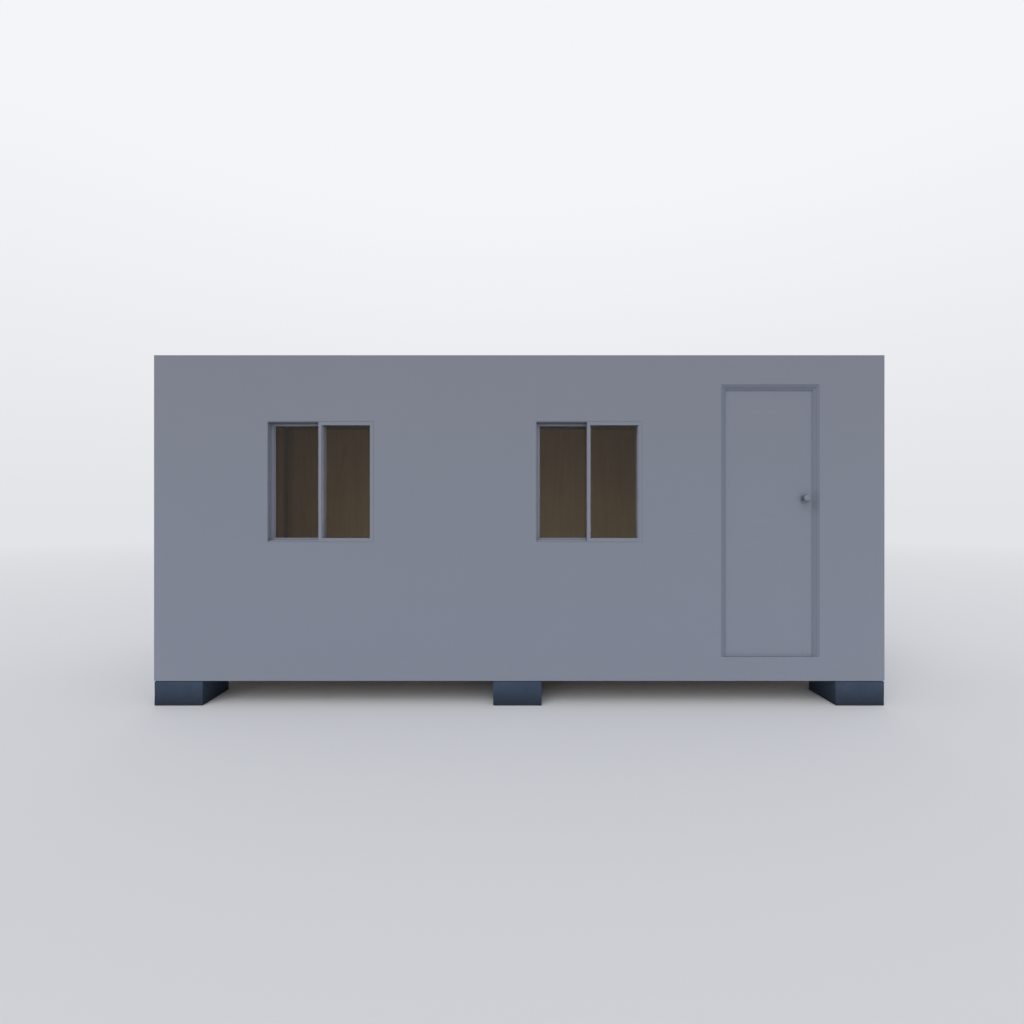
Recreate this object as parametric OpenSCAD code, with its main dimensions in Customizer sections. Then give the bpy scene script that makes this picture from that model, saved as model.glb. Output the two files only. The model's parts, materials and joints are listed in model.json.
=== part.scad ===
// Portable site cabin: a flat-sided insulated box with two sliding windows and one
// door in its front, on a steel chassis that stands on six square pads.
// Millimetres. The origin is at ground level under the middle of the cabin,
// +X runs along the front to the right, +Y from front to rear, +Z up.

/* [Cabin body] */
// Length over the walls
cabin_l = 6000; // [5400:50:7200]
// Depth over the walls
cabin_d = 2400; // [2200:20:3000]
// Height of the walls, from the bottom edge of the skirt to the roof edge
cabin_h = 2675; // [2640:5:2900]
// Thickness of the insulated wall panel
panel_t = 91; // [86:1:110]
// Thickness of the lining board on the inside of the walls
lining_t = 9; // [6:1:15]
// Thickness of the skirt over the chassis and of the boards round the roof
skin_t = 20; // [12:1:26]

/* [Pads] */
// Width and depth of a pad
pad_w = 400; // [300:10:500]
// Height of a pad
pad_h = 200; // [100:10:300]
// Distance that the middle pads stand left of the cabin's middle
pad_shift = 15; // [0:5:60]
// Gap between the top of the pads and the bottom edge of the skirt
shadow_gap = 5; // [3:1:15]

/* [Chassis and floor] */
// Height of the chassis rails
rail_h = 180; // [160:5:220]
// Width of the chassis rails' flanges
rail_w = 60; // [50:2:80]
// Thickness of the steel in the rails and the floor joists
steel_t = 5; // [4:0.5:8]
// Height of the floor joists
floor_joist_h = 120; // [80:5:150]
// Width of the floor joists' flanges
floor_joist_w = 50; // [40:2:70]
// Largest distance from one floor joist to the next
floor_joist_pitch = 500; // [400:20:700]
// Thickness of the floor deck
deck_t = 18; // [15:1:25]
// Thickness of the floor covering
vinyl_t = 2; // [2:0.5:5]

/* [Roof] */
// Height of the ceiling above the floor
room_h = 2252; // [2220:2:2260]
// Thickness of the ceiling board
ceiling_t = 12; // [9:1:15]
// Height of the roof joists at the front, where they are highest
roof_joist_h = 110; // [90:2:120]
// Width of a roof joist
roof_joist_w = 47; // [38:1:60]
// Number of roof joists
roof_joist_n = 11; // [7:1:15]
// Fall of the roof from front to rear
roof_fall = 25; // [15:1:40]
// Distance from one roof rib to the next
rib_pitch = 200; // [160:10:300]
// Height of a roof rib
rib_h = 30; // [20:1:40]
// Width across the top of a roof rib
rib_top = 30; // [20:1:50]
// Width across the foot of a roof rib
rib_foot = 70; // [60:1:90]
// Thickness of the roof sheet
sheet_t = 1.5; // [1:0.25:3]
// Thickness of the capping along the roof edge
cap_t = 2; // [1.5:0.5:4]
// Depth of the capping's inner leg
cap_leg = 40; // [20:2:50]
// Outer radius of a rain spout
spout_r = 20; // [15:1:25]
// Distance that a rain spout stands out from the rear wall
spout_out = 30; // [20:2:60]
// Distance of each rain spout from the nearer end of the cabin
spout_from_end = 350; // [200:10:900]

/* [Windows] */
// Width of a window opening
win_w = 870; // [700:10:1000]
// Height of a window opening
win_h = 990; // [700:10:1100]
// Height of the window openings above the bottom edge of the skirt
win_sill = 1142; // [1000:1:1300]
// Distance from the left end of the cabin to the left window
win_from_end = 932; // [400:10:1200]
// Distance from the right window to the door opening
win_to_door = 649; // [400:1:800]
// Thickness of the window frame's lining
liner_t = 3; // [2:0.5:6]
// Width of a sash's bars
sash_bar = 26; // [22:1:40]
// Thickness of a sash from front to back
sash_t = 40; // [32:1:42]
// Gap between the outer and the inner sash
sash_gap = 12; // [8:1:14]
// Overlap of the two sashes where they meet
meeting_overlap = 34; // [28:1:44]
// Thickness of a pane
glass_t = 4; // [3:0.5:6]
// Distance from the face of a sash to its pane
glass_back = 28; // [16:1:28]
// Depth that a pane's edge goes into its sash
glass_bite = 9; // [6:1:12]

/* [Door] */
// Width of the door opening in the wall
door_w = 810; // [760:5:900]
// Height of the strip of wall over the door opening
over_door_h = 22; // [18:1:60]
// Distance from the door opening to the right end of the cabin
door_from_end = 532; // [300:4:700]
// Width of the splayed casing
casing_w = 45; // [40:1:60]
// Depth of the splayed casing from the wall's face
casing_d = 20; // [14:1:24]
// Thickness of the edge that the casing ends in
casing_nose = 4; // [3:0.5:6]
// Overlap of the casing over the edge of the door leaf
stop_overlap = 12; // [8:1:16]
// Clearance round the door leaf
leaf_gap = 5; // [4:0.5:7]
// Thickness of the door leaf
leaf_t = 44; // [38:1:46]
// Bevel of the leaf's lock edge, measured at its outer face
lock_bevel = 3; // [2:0.5:5]
// Thickness of the threshold plate
threshold_t = 6; // [4:0.5:8]

/* [Door furniture] */
// Distance from the lock edge of the leaf to the middle of the knob
knob_backset = 78; // [65:1:90]
// Height of the knob above the bottom edge of the skirt
knob_up = 1501; // [1100:5:1600]
// Diameter of the knob
knob_dia = 60; // [50:1:66]
// Thickness of the knob's head
knob_t = 34; // [26:1:38]
// Distance that the knob stands out from the leaf
knob_out = 60; // [52:1:70]
// Radius of the knob's neck
neck_r = 12; // [9:0.5:14]
// Radius of the rose
rose_r = 36; // [30:1:40]
// Thickness of the rose
rose_t = 8; // [6:0.5:10]
// Radius of the spindle that joins the two knobs
spindle_r = 5; // [4:0.5:6]
// Radius of a hinge's knuckles
knuckle_r = 6; // [5.5:0.25:7]
// Radius of a hinge's pin
hinge_pin_r = 3; // [2.5:0.25:3.5]
// Height of a hinge
hinge_h = 100; // [75:5:130]
// Distance from the ends of the leaf to the middle of the outer hinges
hinge_from_end = 220; // [150:5:400]
// Height of the latch plate
latch_h = 60; // [50:2:80]
// Width of the latch plate
latch_w = 24; // [20:1:28]

/* [Hidden] */
$fn = 64;

// Small clearances
touch_gap = 0.3;
pin_gap = 0.2;
run_gap = 1;
over = 1;

// Plan of the cabin
half_l = cabin_l / 2;
half_d = cabin_d / 2;
y_front = -half_d;
wall_t = panel_t + lining_t;
in_panel_x = half_l - panel_t;
in_panel_y = half_d - panel_t;
room_x = half_l - wall_t;
room_y = half_d - wall_t;
in_skin_x = half_l - skin_t;
in_skin_y = half_d - skin_t;

// Levels, from the ground up
skirt_z = pad_h + shadow_gap;
rail_top_z = pad_h + rail_h;
deck_top_z = rail_top_z + deck_t;
floor_z = deck_top_z + vinyl_t;
ceiling_z = floor_z + room_h;
panel_top_z = ceiling_z + ceiling_t;
top_z = skirt_z + cabin_h;
wall_top_z = top_z - cap_t;
sill_z = skirt_z + win_sill;
head_z = sill_z + win_h;
door_top_z = panel_top_z - over_door_h;

// Openings along the front
door_x1 = half_l - door_from_end;
door_x0 = door_x1 - door_w;
right_win_x = door_x0 - win_to_door - win_w;
left_win_x = -half_l + win_from_end;

// Sashes and the tracks that they run on
rib_w = 4;
track_h = 7;
divider_h = 9;
head_gap = 2;
groove_w = rib_w + 2 * run_gap;
sash_w = (win_w - 2 * liner_t + meeting_overlap) / 2;
sash_h = win_h - 2 * liner_t - run_gap - head_gap;
inner_sash_d = sash_t + sash_gap;
jamb_post_d = sash_t + sash_gap / 2;
lip_t = 3;
lip_run = sash_gap - lip_t;
pull_w = 10;
pull_h = 120;
pull_d = 5;

// Door leaf and the frame that it shuts into
facet_w = casing_w / 2;
facet_d = casing_d * 0.35;
quirk_d = 2;
knuckle_stand = 3;
rebate_w = casing_w - stop_overlap - leaf_gap;
leaf_edge = rebate_w + leaf_gap;
leaf_front = casing_d + casing_nose + leaf_gap;
leaf_back = leaf_front + leaf_t;
knuckle_room = 2 * knuckle_r + knuckle_stand + run_gap;
frame_back_w = rebate_w - knuckle_room;
leaf_x0 = door_x0 + leaf_edge;
leaf_x1 = door_x1 - leaf_edge;
leaf_z0 = floor_z + leaf_gap + run_gap;
leaf_z1 = door_top_z - leaf_edge;
leaf_y0 = y_front + leaf_front;
leaf_y1 = y_front + leaf_back;

// Hinges
plate_t = (leaf_gap - run_gap) / 2;
plate_run = leaf_t * 0.75;
pivot_x = leaf_x0 - leaf_gap / 2;
pivot_y = leaf_y1 + knuckle_r + knuckle_stand;
knuckle_gap = 0.5;
hinge_z = [leaf_z0 + hinge_from_end, (leaf_z0 + leaf_z1) / 2, leaf_z1 - hinge_from_end];

// Knob and latch
knob_x = leaf_x1 - knob_backset;
knob_z = skirt_z + knob_up;
spindle_room = 3;
flare_h = 4;
flare_w = 4;
latch_x = leaf_x1 - lock_bevel;
latch_y = (leaf_y0 + leaf_y1) / 2;
latch_t = 2;
bolt_w = 14;
bolt_h = 24;
bolt_d = 12;
bolt_play = 1;
nose_t = 2;

// Draws a shape of (y, z) points from x0 to x1.
module along_x(x0, x1) {
    translate([x0, 0, 0]) rotate([90, 0, 90]) linear_extrude(x1 - x0) children();
}

// Draws a shape of (x, z) points from y0 to y1.
module along_y(y0, y1) {
    translate([0, y1, 0]) rotate([90, 0, 0]) linear_extrude(y1 - y0) children();
}

// Draws a shape of (x, y) points from z0 to z1.
module along_z(z0, z1) {
    translate([0, 0, z0]) linear_extrude(z1 - z0) children();
}

// A block between two opposite corners.
module block(low, high) {
    translate(low) cube(high - low);
}

// PADS

module pad(x, y) {
    color("dimgray") block([x - pad_w / 2, y - pad_w / 2, 0], [x + pad_w / 2, y + pad_w / 2, pad_h]);
}

pad_x = half_l - pad_w / 2;
pad_y = half_d - pad_w / 2;

module pad_front_left() { pad(-pad_x, -pad_y); }
module pad_front_middle() { pad(-pad_shift, -pad_y); }
module pad_front_right() { pad(pad_x, -pad_y); }
module pad_rear_left() { pad(-pad_x, pad_y); }
module pad_rear_middle() { pad(-pad_shift, pad_y); }
module pad_rear_right() { pad(pad_x, pad_y); }

// CHASSIS

// Outline of a channel: its web at u = 0, its flanges towards +u, from v = 0 to v = h.
module channel(w, h) {
    difference() {
        square([w, h]);
        translate([steel_t, steel_t]) square([w, h - 2 * steel_t]);
    }
}

module chassis_long_rails() {
    color("dimgray") for (side = [0, 1])
        mirror([0, side, 0]) along_x(-in_skin_x, in_skin_x)
            translate([-in_skin_y, pad_h]) channel(rail_w, rail_h);
}

// The end rails and the joists fit between the long rails.
joist_reach = in_skin_y - rail_w;

module chassis_end_rails() {
    color("dimgray") for (side = [0, 1])
        mirror([side, 0, 0]) along_y(-joist_reach, joist_reach)
            translate([-in_skin_x, pad_h]) channel(rail_w, rail_h);
}

joist_run = 2 * (in_skin_x - rail_w);
floor_joist_n = ceil(joist_run / floor_joist_pitch) - 1;

module floor_joists() {
    step = joist_run / (floor_joist_n + 1);
    color("gray") for (i = [1 : floor_joist_n])
        along_y(-joist_reach, joist_reach)
            translate([-joist_run / 2 + i * step - floor_joist_w / 2, rail_top_z - floor_joist_h])
                channel(floor_joist_w, floor_joist_h);
}

// FLOOR

module floor_deck() {
    color("burlywood") block([-in_panel_x, -in_panel_y, rail_top_z], [in_panel_x, in_panel_y, deck_top_z]);
}

// The covering reaches through the gap in the lining to the threshold.
module floor_covering() {
    color("gray") union() {
        block([-room_x, -room_y, deck_top_z], [room_x, room_y, floor_z]);
        block([door_x0, -in_panel_y, deck_top_z], [door_x1, -room_y + over, floor_z]);
    }
}

// WALLS

// Section through a wall: u is the depth from the outer face. The outer skin runs
// past the panel at the bottom, as a skirt over the chassis.
wall_section = [
    [0, skirt_z], [skin_t, skirt_z], [skin_t, rail_top_z],
    [panel_t, rail_top_z], [panel_t, panel_top_z], [0, panel_top_z]
];

module window_hole(x0) {
    block([x0, y_front - over, sill_z], [x0 + win_w, y_front + wall_t + over, head_z]);
}

module front_wall() {
    color("gainsboro") difference() {
        along_x(-half_l, door_x0) translate([y_front, 0]) polygon(wall_section);
        window_hole(left_win_x);
        window_hole(right_win_x);
    }
}

module front_wall_right_pier() {
    color("gainsboro") along_x(door_x1, half_l) translate([y_front, 0]) polygon(wall_section);
}

module front_wall_over_door() {
    color("gainsboro") intersection() {
        along_x(door_x0, door_x1) translate([y_front, 0]) polygon(wall_section);
        block([door_x0, y_front, door_top_z], [door_x1, y_front + panel_t, panel_top_z]);
    }
}

module front_wall_under_door() {
    color("gainsboro") intersection() {
        along_x(door_x0, door_x1) translate([y_front, 0]) polygon(wall_section);
        block([door_x0, y_front, skirt_z], [door_x1, y_front + panel_t, floor_z - threshold_t]);
    }
}

module rear_wall() {
    color("gainsboro") mirror([0, 1, 0])
        along_x(-half_l, half_l) translate([y_front, 0]) polygon(wall_section);
}

// An end wall's panel fits between the long walls, and its skirt reaches their skirts.
module end_wall() {
    color("gainsboro") union() {
        along_y(-in_panel_y, in_panel_y) translate([-half_l, 0]) polygon(wall_section);
        block([-half_l, -in_skin_y, skirt_z], [-in_skin_x, in_skin_y, rail_top_z]);
    }
}

module left_end_wall() { end_wall(); }
module right_end_wall() { mirror([1, 0, 0]) end_wall(); }

// LININGS

module front_lining() {
    color("tan") difference() {
        block([-in_panel_x, -in_panel_y, deck_top_z], [in_panel_x, -room_y, ceiling_z]);
        window_hole(left_win_x);
        window_hole(right_win_x);
        block([door_x0, -in_panel_y - over, 0], [door_x1, -room_y + over, door_top_z]);
    }
}

module rear_lining() {
    color("tan") block([-in_panel_x, room_y, deck_top_z], [in_panel_x, in_panel_y, ceiling_z]);
}

module end_linings() {
    for (side = [0, 1])
        mirror([side, 0, 0])
            color("tan") block([-in_panel_x, -room_y, deck_top_z], [-room_x, room_y, ceiling_z]);
}

// ROOF

module ceiling() {
    color("linen") block([-in_panel_x, -in_panel_y, ceiling_z], [in_panel_x, in_panel_y, panel_top_z]);
}

roof_run = 2 * in_skin_y;
roof_angle = atan(roof_fall / roof_run);
roof_high_z = panel_top_z + roof_joist_h;
roof_low_z = roof_high_z - roof_fall;

// Joists with a sloped top, which give the roof its fall to the rear.
module roof_joists() {
    first = -in_skin_x + roof_joist_w / 2;
    step = -2 * first / (roof_joist_n - 1);
    color("burlywood") for (i = [0 : roof_joist_n - 1])
        along_x(first + i * step - roof_joist_w / 2, first + i * step + roof_joist_w / 2)
            polygon([[-in_skin_y, panel_top_z], [in_skin_y, panel_top_z],
                     [in_skin_y, roof_low_z], [-in_skin_y, roof_high_z]]);
}

// Upper line of the ribbed sheet from left to right, as (x, height) points.
sheet_room = 2;
sheet_x = in_skin_x - sheet_room;
rib_n = floor((2 * sheet_x - rib_foot) / rib_pitch);
function rib_points(x) = [
    [x - rib_foot / 2, 0], [x - rib_top / 2, rib_h], [x + rib_top / 2, rib_h], [x + rib_foot / 2, 0]
];
rib_line = concat(
    [[-sheet_x, 0]],
    [for (i = [0 : rib_n - 1], p = rib_points((i - (rib_n - 1) / 2) * rib_pitch)) p],
    [[sheet_x, 0]]
);
sheet_section = concat(
    [for (p = rib_line) [p[0], p[1] + sheet_t]],
    [for (i = [len(rib_line) - 1 : -1 : 0]) rib_line[i]]
);

module roof_sheet() {
    color("silver") translate([0, -in_skin_y, roof_high_z + touch_gap]) rotate([-roof_angle, 0, 0])
        along_y(sheet_room, roof_run - sheet_room) polygon(sheet_section);
}

// Boards that carry the faces of the walls up round the roof. The spouts pass the rear one.
module long_roof_edges() {
    color("gainsboro") difference() {
        for (side = [0, 1])
            mirror([0, side, 0]) block([-half_l, -half_d, panel_top_z], [half_l, -in_skin_y, wall_top_z]);
        mirror([0, 1, 0]) for (side = [-1, 1])
            spout_place(side) cylinder(r = spout_r, h = skin_t + 2 * over);
    }
}

module end_roof_edges() {
    color("gainsboro") for (side = [0, 1])
        mirror([side, 0, 0]) block([-half_l, -in_skin_y, panel_top_z], [-in_skin_x, in_skin_y, wall_top_z]);
}

// A folded strip over the top of those boards, with one leg down their inner side.
module roof_capping() {
    color("gainsboro") difference() {
        block([-half_l, -half_d, wall_top_z - cap_leg], [half_l, half_d, top_z]);
        block([-in_skin_x + cap_t, -in_skin_y + cap_t, 0],
              [in_skin_x - cap_t, in_skin_y - cap_t, top_z + over]);
        difference() {
            block([-half_l - over, -half_d - over, 0], [half_l + over, half_d + over, wall_top_z]);
            block([-in_skin_x, -in_skin_y, 0], [in_skin_x, in_skin_y, top_z]);
        }
    }
}

// Spouts lead rain from the low edge of the roof out through the rear skin.
spout_z = roof_low_z + rib_h / 2 + sheet_t;
spout_t = 2;
module spout_place(side) {
    translate([side * (half_l - spout_from_end), y_front + skin_t + over, spout_z])
        rotate([90, 0, 0]) children();
}

module rain_spouts() {
    color("gray") mirror([0, 1, 0]) for (side = [-1, 1])
        spout_place(side) difference() {
            cylinder(r = spout_r, h = skin_t + over + spout_out);
            translate([0, 0, -over]) cylinder(r = spout_r - spout_t, h = skin_t + spout_out + 3 * over);
        }
}

// WINDOWS

// The frame lines the hole. Its sill and head carry a rib for each sash and a
// divider between the sashes, and a post fills the jamb behind the outer sash.
module window_frame(x0) {
    in_w = win_w - 2 * liner_t;
    in_h = win_h - 2 * liner_t;
    post_w = liner_t + sash_bar;
    color("gainsboro") translate([x0, y_front, sill_z]) difference() {
        cube([win_w, wall_t, win_h]);
        difference() {
            block([liner_t, -over, liner_t], [win_w - liner_t, wall_t + over, win_h - liner_t]);
            for (middle = [sash_t / 2, inner_sash_d + sash_t / 2])
                track_pair(middle, track_h, in_w, in_h);
            track_pair(sash_t + sash_gap / 2 - lip_t, divider_h, in_w, in_h);
            block([win_w - post_w, jamb_post_d, 0], [win_w, wall_t + 2 * over, win_h]);
        }
    }
}

// Two ribs, on the sill and under the head, at one depth.
module track_pair(middle, height, in_w, in_h) {
    translate([liner_t, middle - rib_w / 2, liner_t]) cube([in_w, rib_w, height]);
    translate([liner_t, middle - rib_w / 2, liner_t + in_h - height]) cube([in_w, rib_w, height]);
}

// A sash of square bars round one pane, with grooves that run on the ribs.
module sash() {
    difference() {
        cube([sash_w, sash_t, sash_h]);
        block([sash_bar, -over, sash_bar], [sash_w - sash_bar, sash_t + over, sash_h - sash_bar]);
        pane_block();
        translate([-over, (sash_t - groove_w) / 2, -over])
            cube([sash_w + 2 * over, groove_w, track_h - run_gap + over]);
        translate([-over, (sash_t - groove_w) / 2, sash_h - track_h])
            cube([sash_w + 2 * over, groove_w, track_h + over]);
    }
}

module pane_block() {
    inset = sash_bar - glass_bite;
    block([inset, glass_back, inset], [sash_w - inset, glass_back + glass_t, sash_h - inset]);
}

// Where the outer sash and the inner sash stand in a window.
module outer_place(x0) {
    translate([x0 + win_w - liner_t - sash_w, y_front, sill_z + liner_t + run_gap]) children();
}
module inner_place(x0) {
    translate([x0 + liner_t, y_front + inner_sash_d, sill_z + liner_t + run_gap]) children();
}

// The outer sash has a lip behind its meeting stile, which hooks the inner sash's lip.
module window_outer_sash(x0) {
    color("gainsboro") outer_place(x0) union() {
        sash();
        block([0, sash_t - over, divider_h + run_gap],
              [lip_t, sash_t + lip_run, sash_h - divider_h - run_gap]);
    }
}

// The inner sash has its lip in front of its meeting stile, and a finger pull inside.
module window_inner_sash(x0) {
    lip_x = sash_w - lip_t;
    color("gainsboro") inner_place(x0) difference() {
        union() {
            sash();
            block([lip_x, -lip_run, divider_h + run_gap], [sash_w, over, sash_h - divider_h - run_gap]);
        }
        translate([(sash_bar - pull_w) / 2, sash_t - pull_d, (sash_h - pull_h) / 2])
            cube([pull_w, pull_d + over, pull_h]);
    }
}

module window_panes() {
    color("lightblue") for (x0 = [left_win_x, right_win_x]) {
        outer_place(x0) pane_block();
        inner_place(x0) pane_block();
    }
}

module left_window_frame() { window_frame(left_win_x); }
module left_window_outer_sash() { window_outer_sash(left_win_x); }
module left_window_inner_sash() { window_inner_sash(left_win_x); }
module right_window_frame() { window_frame(right_win_x); }
module right_window_outer_sash() { window_outer_sash(right_win_x); }
module right_window_inner_sash() { window_inner_sash(right_win_x); }

// DOOR FRAME

// Section of the frame: u is the distance from the edge of the opening, v the depth.
// Two splayed facets with a quirk between them end in a nose, which the leaf shuts
// behind. The frame steps back again behind the leaf to leave room for the hinges.
frame_section = [
    [0, 0],
    [facet_w, facet_d],
    [facet_w, facet_d + quirk_d],
    [casing_w, casing_d],
    [casing_w, casing_d + casing_nose],
    [rebate_w, casing_d + casing_nose],
    [rebate_w, leaf_back],
    [frame_back_w, leaf_back],
    [frame_back_w, wall_t],
    [0, wall_t]
];

module frame_jamb() {
    intersection() {
        along_z(floor_z, door_top_z) translate([door_x0, y_front]) polygon(frame_section);
        along_y(y_front - over, y_front + wall_t + over)
            polygon([[door_x0, floor_z], [door_x0, door_top_z],
                     [door_x0 + casing_w, door_top_z - casing_w], [door_x0 + casing_w, floor_z]]);
    }
}

module frame_head() {
    head_section = [for (p = frame_section) [y_front + p[1], door_top_z - p[0]]];
    intersection() {
        along_x(door_x0, door_x1) polygon(head_section);
        along_y(y_front - over, y_front + wall_t + over)
            polygon([[door_x0, door_top_z], [door_x1, door_top_z],
                     [door_x1 - casing_w, door_top_z - casing_w],
                     [door_x0 + casing_w, door_top_z - casing_w]]);
    }
}

module door_frame() {
    color("gainsboro") difference() {
        union() {
            frame_jamb();
            translate([door_x0 + door_x1, 0, 0]) mirror([1, 0, 0]) frame_jamb();
            frame_head();
        }
        plate_at(strike_x);
        bolt_hole();
    }
}

// A plate of the latch's size let into the face at x, which it is flush with.
module plate_at(x) {
    block([x, latch_y - latch_w / 2, knob_z - latch_h / 2],
          [x + latch_t, latch_y + latch_w / 2, knob_z + latch_h / 2]);
}

// The hole that the latch bolt shoots into.
strike_x = door_x1 - rebate_w;
module bolt_hole() {
    block([strike_x - over, latch_y - bolt_w / 2, knob_z - bolt_h / 2],
          [strike_x + bolt_d, latch_y + bolt_w / 2, knob_z + bolt_h / 2]);
}

module strike_plate() {
    color("silver") difference() {
        plate_at(strike_x);
        bolt_hole();
    }
}

// The threshold has grooves across the way in.
tread_pitch = 12;
tread_w = 4;
tread_d = 1.5;
tread_edge = 22;
module door_threshold() {
    tread_n = floor((panel_t - 2 * tread_edge) / tread_pitch);
    color("silver") difference() {
        block([door_x0, y_front, floor_z - threshold_t], [door_x1, -in_panel_y, floor_z]);
        for (i = [0 : tread_n])
            translate([door_x0 + casing_w, y_front + tread_edge + i * tread_pitch, floor_z - tread_d])
                cube([door_w - 2 * casing_w, tread_w, tread_d + over]);
    }
}

// DOOR LEAF

module door_leaf() {
    color("gainsboro") difference() {
        along_z(leaf_z0, leaf_z1)
            polygon([[leaf_x0, leaf_y0], [leaf_x1 - lock_bevel, leaf_y0],
                     [leaf_x1, leaf_y1], [leaf_x0, leaf_y1]]);
        translate([knob_x, leaf_y1 + over, knob_z]) rotate([90, 0, 0])
            cylinder(r = spindle_r + spindle_room, h = leaf_t + 2 * over);
        block([latch_x - latch_t, latch_y - latch_w / 2, knob_z - latch_h / 2],
              [leaf_x1 + over, latch_y + latch_w / 2, knob_z + latch_h / 2]);
    }
}

// The latch bolt is drawn back, so its slanted nose ends short of the leaf's edge.
module latch_plate() {
    nose_x = latch_x + lock_bevel - bolt_play;
    nose_y = latch_y + bolt_w / 2 - bolt_play;
    color("silver") union() {
        plate_at(latch_x - latch_t);
        along_z(knob_z - bolt_h / 2 + bolt_play, knob_z + bolt_h / 2 - bolt_play)
            polygon([[latch_x - over, latch_y - bolt_w / 2 + bolt_play], [nose_x, nose_y - nose_t],
                     [nose_x, nose_y], [latch_x - over, nose_y]]);
    }
}

// HINGES

knuckle_h = hinge_h / 3;

// The frame's half: a plate on the rebate, the two outer knuckles and the pin.
module frame_hinge_plates() {
    x0 = door_x0 + rebate_w;
    for (z = hinge_z) color("silver") union() {
        block([x0, leaf_y1 - plate_run, z - hinge_h / 2], [x0 + plate_t, leaf_y1, z + hinge_h / 2]);
        for (low = [z - hinge_h / 2, z + hinge_h / 2 - knuckle_h + knuckle_gap]) {
            block([x0, leaf_y1 - over, low], [x0 + plate_t, pivot_y, low + knuckle_h - knuckle_gap]);
            translate([pivot_x, pivot_y, low]) cylinder(r = knuckle_r, h = knuckle_h - knuckle_gap);
        }
        translate([pivot_x, pivot_y, z - hinge_h / 2]) cylinder(r = hinge_pin_r, h = hinge_h);
    }
}

// The leaf's half: a plate on the leaf's edge and the middle knuckle round the pin.
module leaf_hinge_plates() {
    for (z = hinge_z) color("silver") difference() {
        union() {
            block([leaf_x0 - plate_t, leaf_y1 - plate_run, z - hinge_h / 2],
                  [leaf_x0, leaf_y1, z + hinge_h / 2]);
            block([leaf_x0 - plate_t, leaf_y1 - over, z - knuckle_h / 2],
                  [leaf_x0, pivot_y, z + knuckle_h / 2]);
            translate([pivot_x, pivot_y, z - knuckle_h / 2]) cylinder(r = knuckle_r, h = knuckle_h);
        }
        translate([pivot_x, pivot_y, z - hinge_h]) cylinder(r = hinge_pin_r + pin_gap, h = 2 * hinge_h);
    }
}

// KNOBS

// Places a turned shape on the outer face (side 1) or the inner face (side -1) of the leaf.
module on_leaf(side) {
    translate([knob_x, side > 0 ? leaf_y0 : leaf_y1, knob_z]) rotate([side * 90, 0, 0]) children();
}

// Half section of the rose, as (radius, height) from the leaf.
module rose_section() {
    edge = rose_t / 2;
    bore = neck_r + pin_gap;
    translate([bore, 0]) square([rose_r - bore, edge]);
    translate([bore, 0]) square([rose_r - edge - bore, rose_t]);
    translate([rose_r - edge, edge]) circle(r = edge);
}

module door_roses() {
    color("silver") for (side = [1, -1])
        on_leaf(side) rotate_extrude() rose_section();
}

// Half section of a knob: a neck that flares into a head with a fully rounded rim.
module knob_section() {
    rim = knob_t / 2;
    low = knob_out - knob_t;
    flare_r = knob_dia / 2 - rim + flare_w;
    translate([0, touch_gap]) square([neck_r, low]);
    polygon([[0, rose_t + flare_h], [neck_r, rose_t + flare_h],
             [flare_r, low + flare_h / 2], [0, low + flare_h / 2]]);
    translate([0, low]) square([knob_dia / 2 - rim, knob_t]);
    intersection() {
        translate([knob_dia / 2 - rim, low + rim]) circle(r = rim);
        square([knob_dia, knob_out]);
    }
}

module outer_knob() {
    color("silver") union() {
        on_leaf(1) rotate_extrude() knob_section();
        translate([knob_x, leaf_y1 + touch_gap, knob_z]) rotate([90, 0, 0])
            cylinder(r = spindle_r, h = leaf_t + 2 * touch_gap + over);
    }
}

module inner_knob() {
    color("silver") on_leaf(-1) rotate_extrude() knob_section();
}

pad_front_left();
pad_front_middle();
pad_front_right();
pad_rear_left();
pad_rear_middle();
pad_rear_right();
chassis_long_rails();
chassis_end_rails();
floor_joists();
floor_deck();
floor_covering();
front_wall();
front_wall_over_door();
front_wall_under_door();
front_wall_right_pier();
rear_wall();
left_end_wall();
right_end_wall();
front_lining();
rear_lining();
end_linings();
ceiling();
roof_joists();
roof_sheet();
long_roof_edges();
end_roof_edges();
roof_capping();
rain_spouts();
left_window_frame();
left_window_outer_sash();
left_window_inner_sash();
right_window_frame();
right_window_outer_sash();
right_window_inner_sash();
window_panes();
door_frame();
door_threshold();
frame_hinge_plates();
strike_plate();
door_leaf();
leaf_hinge_plates();
latch_plate();
door_roses();
outer_knob();
inner_knob();
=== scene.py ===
"""Looks of a portable site cabin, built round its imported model.

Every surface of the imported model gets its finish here, and the small things that sit on
it are added: cast pads with worn arrises, the windows' gaskets, beads and sealant, the
door's seal, knobs, the room's trim, roof screws and rivets, and the screws of the plates.
Lengths are metres in the model's frame: +X runs along the front to the right, +Y from
front to rear, +Z up from the ground.
"""

import json
import math

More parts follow.
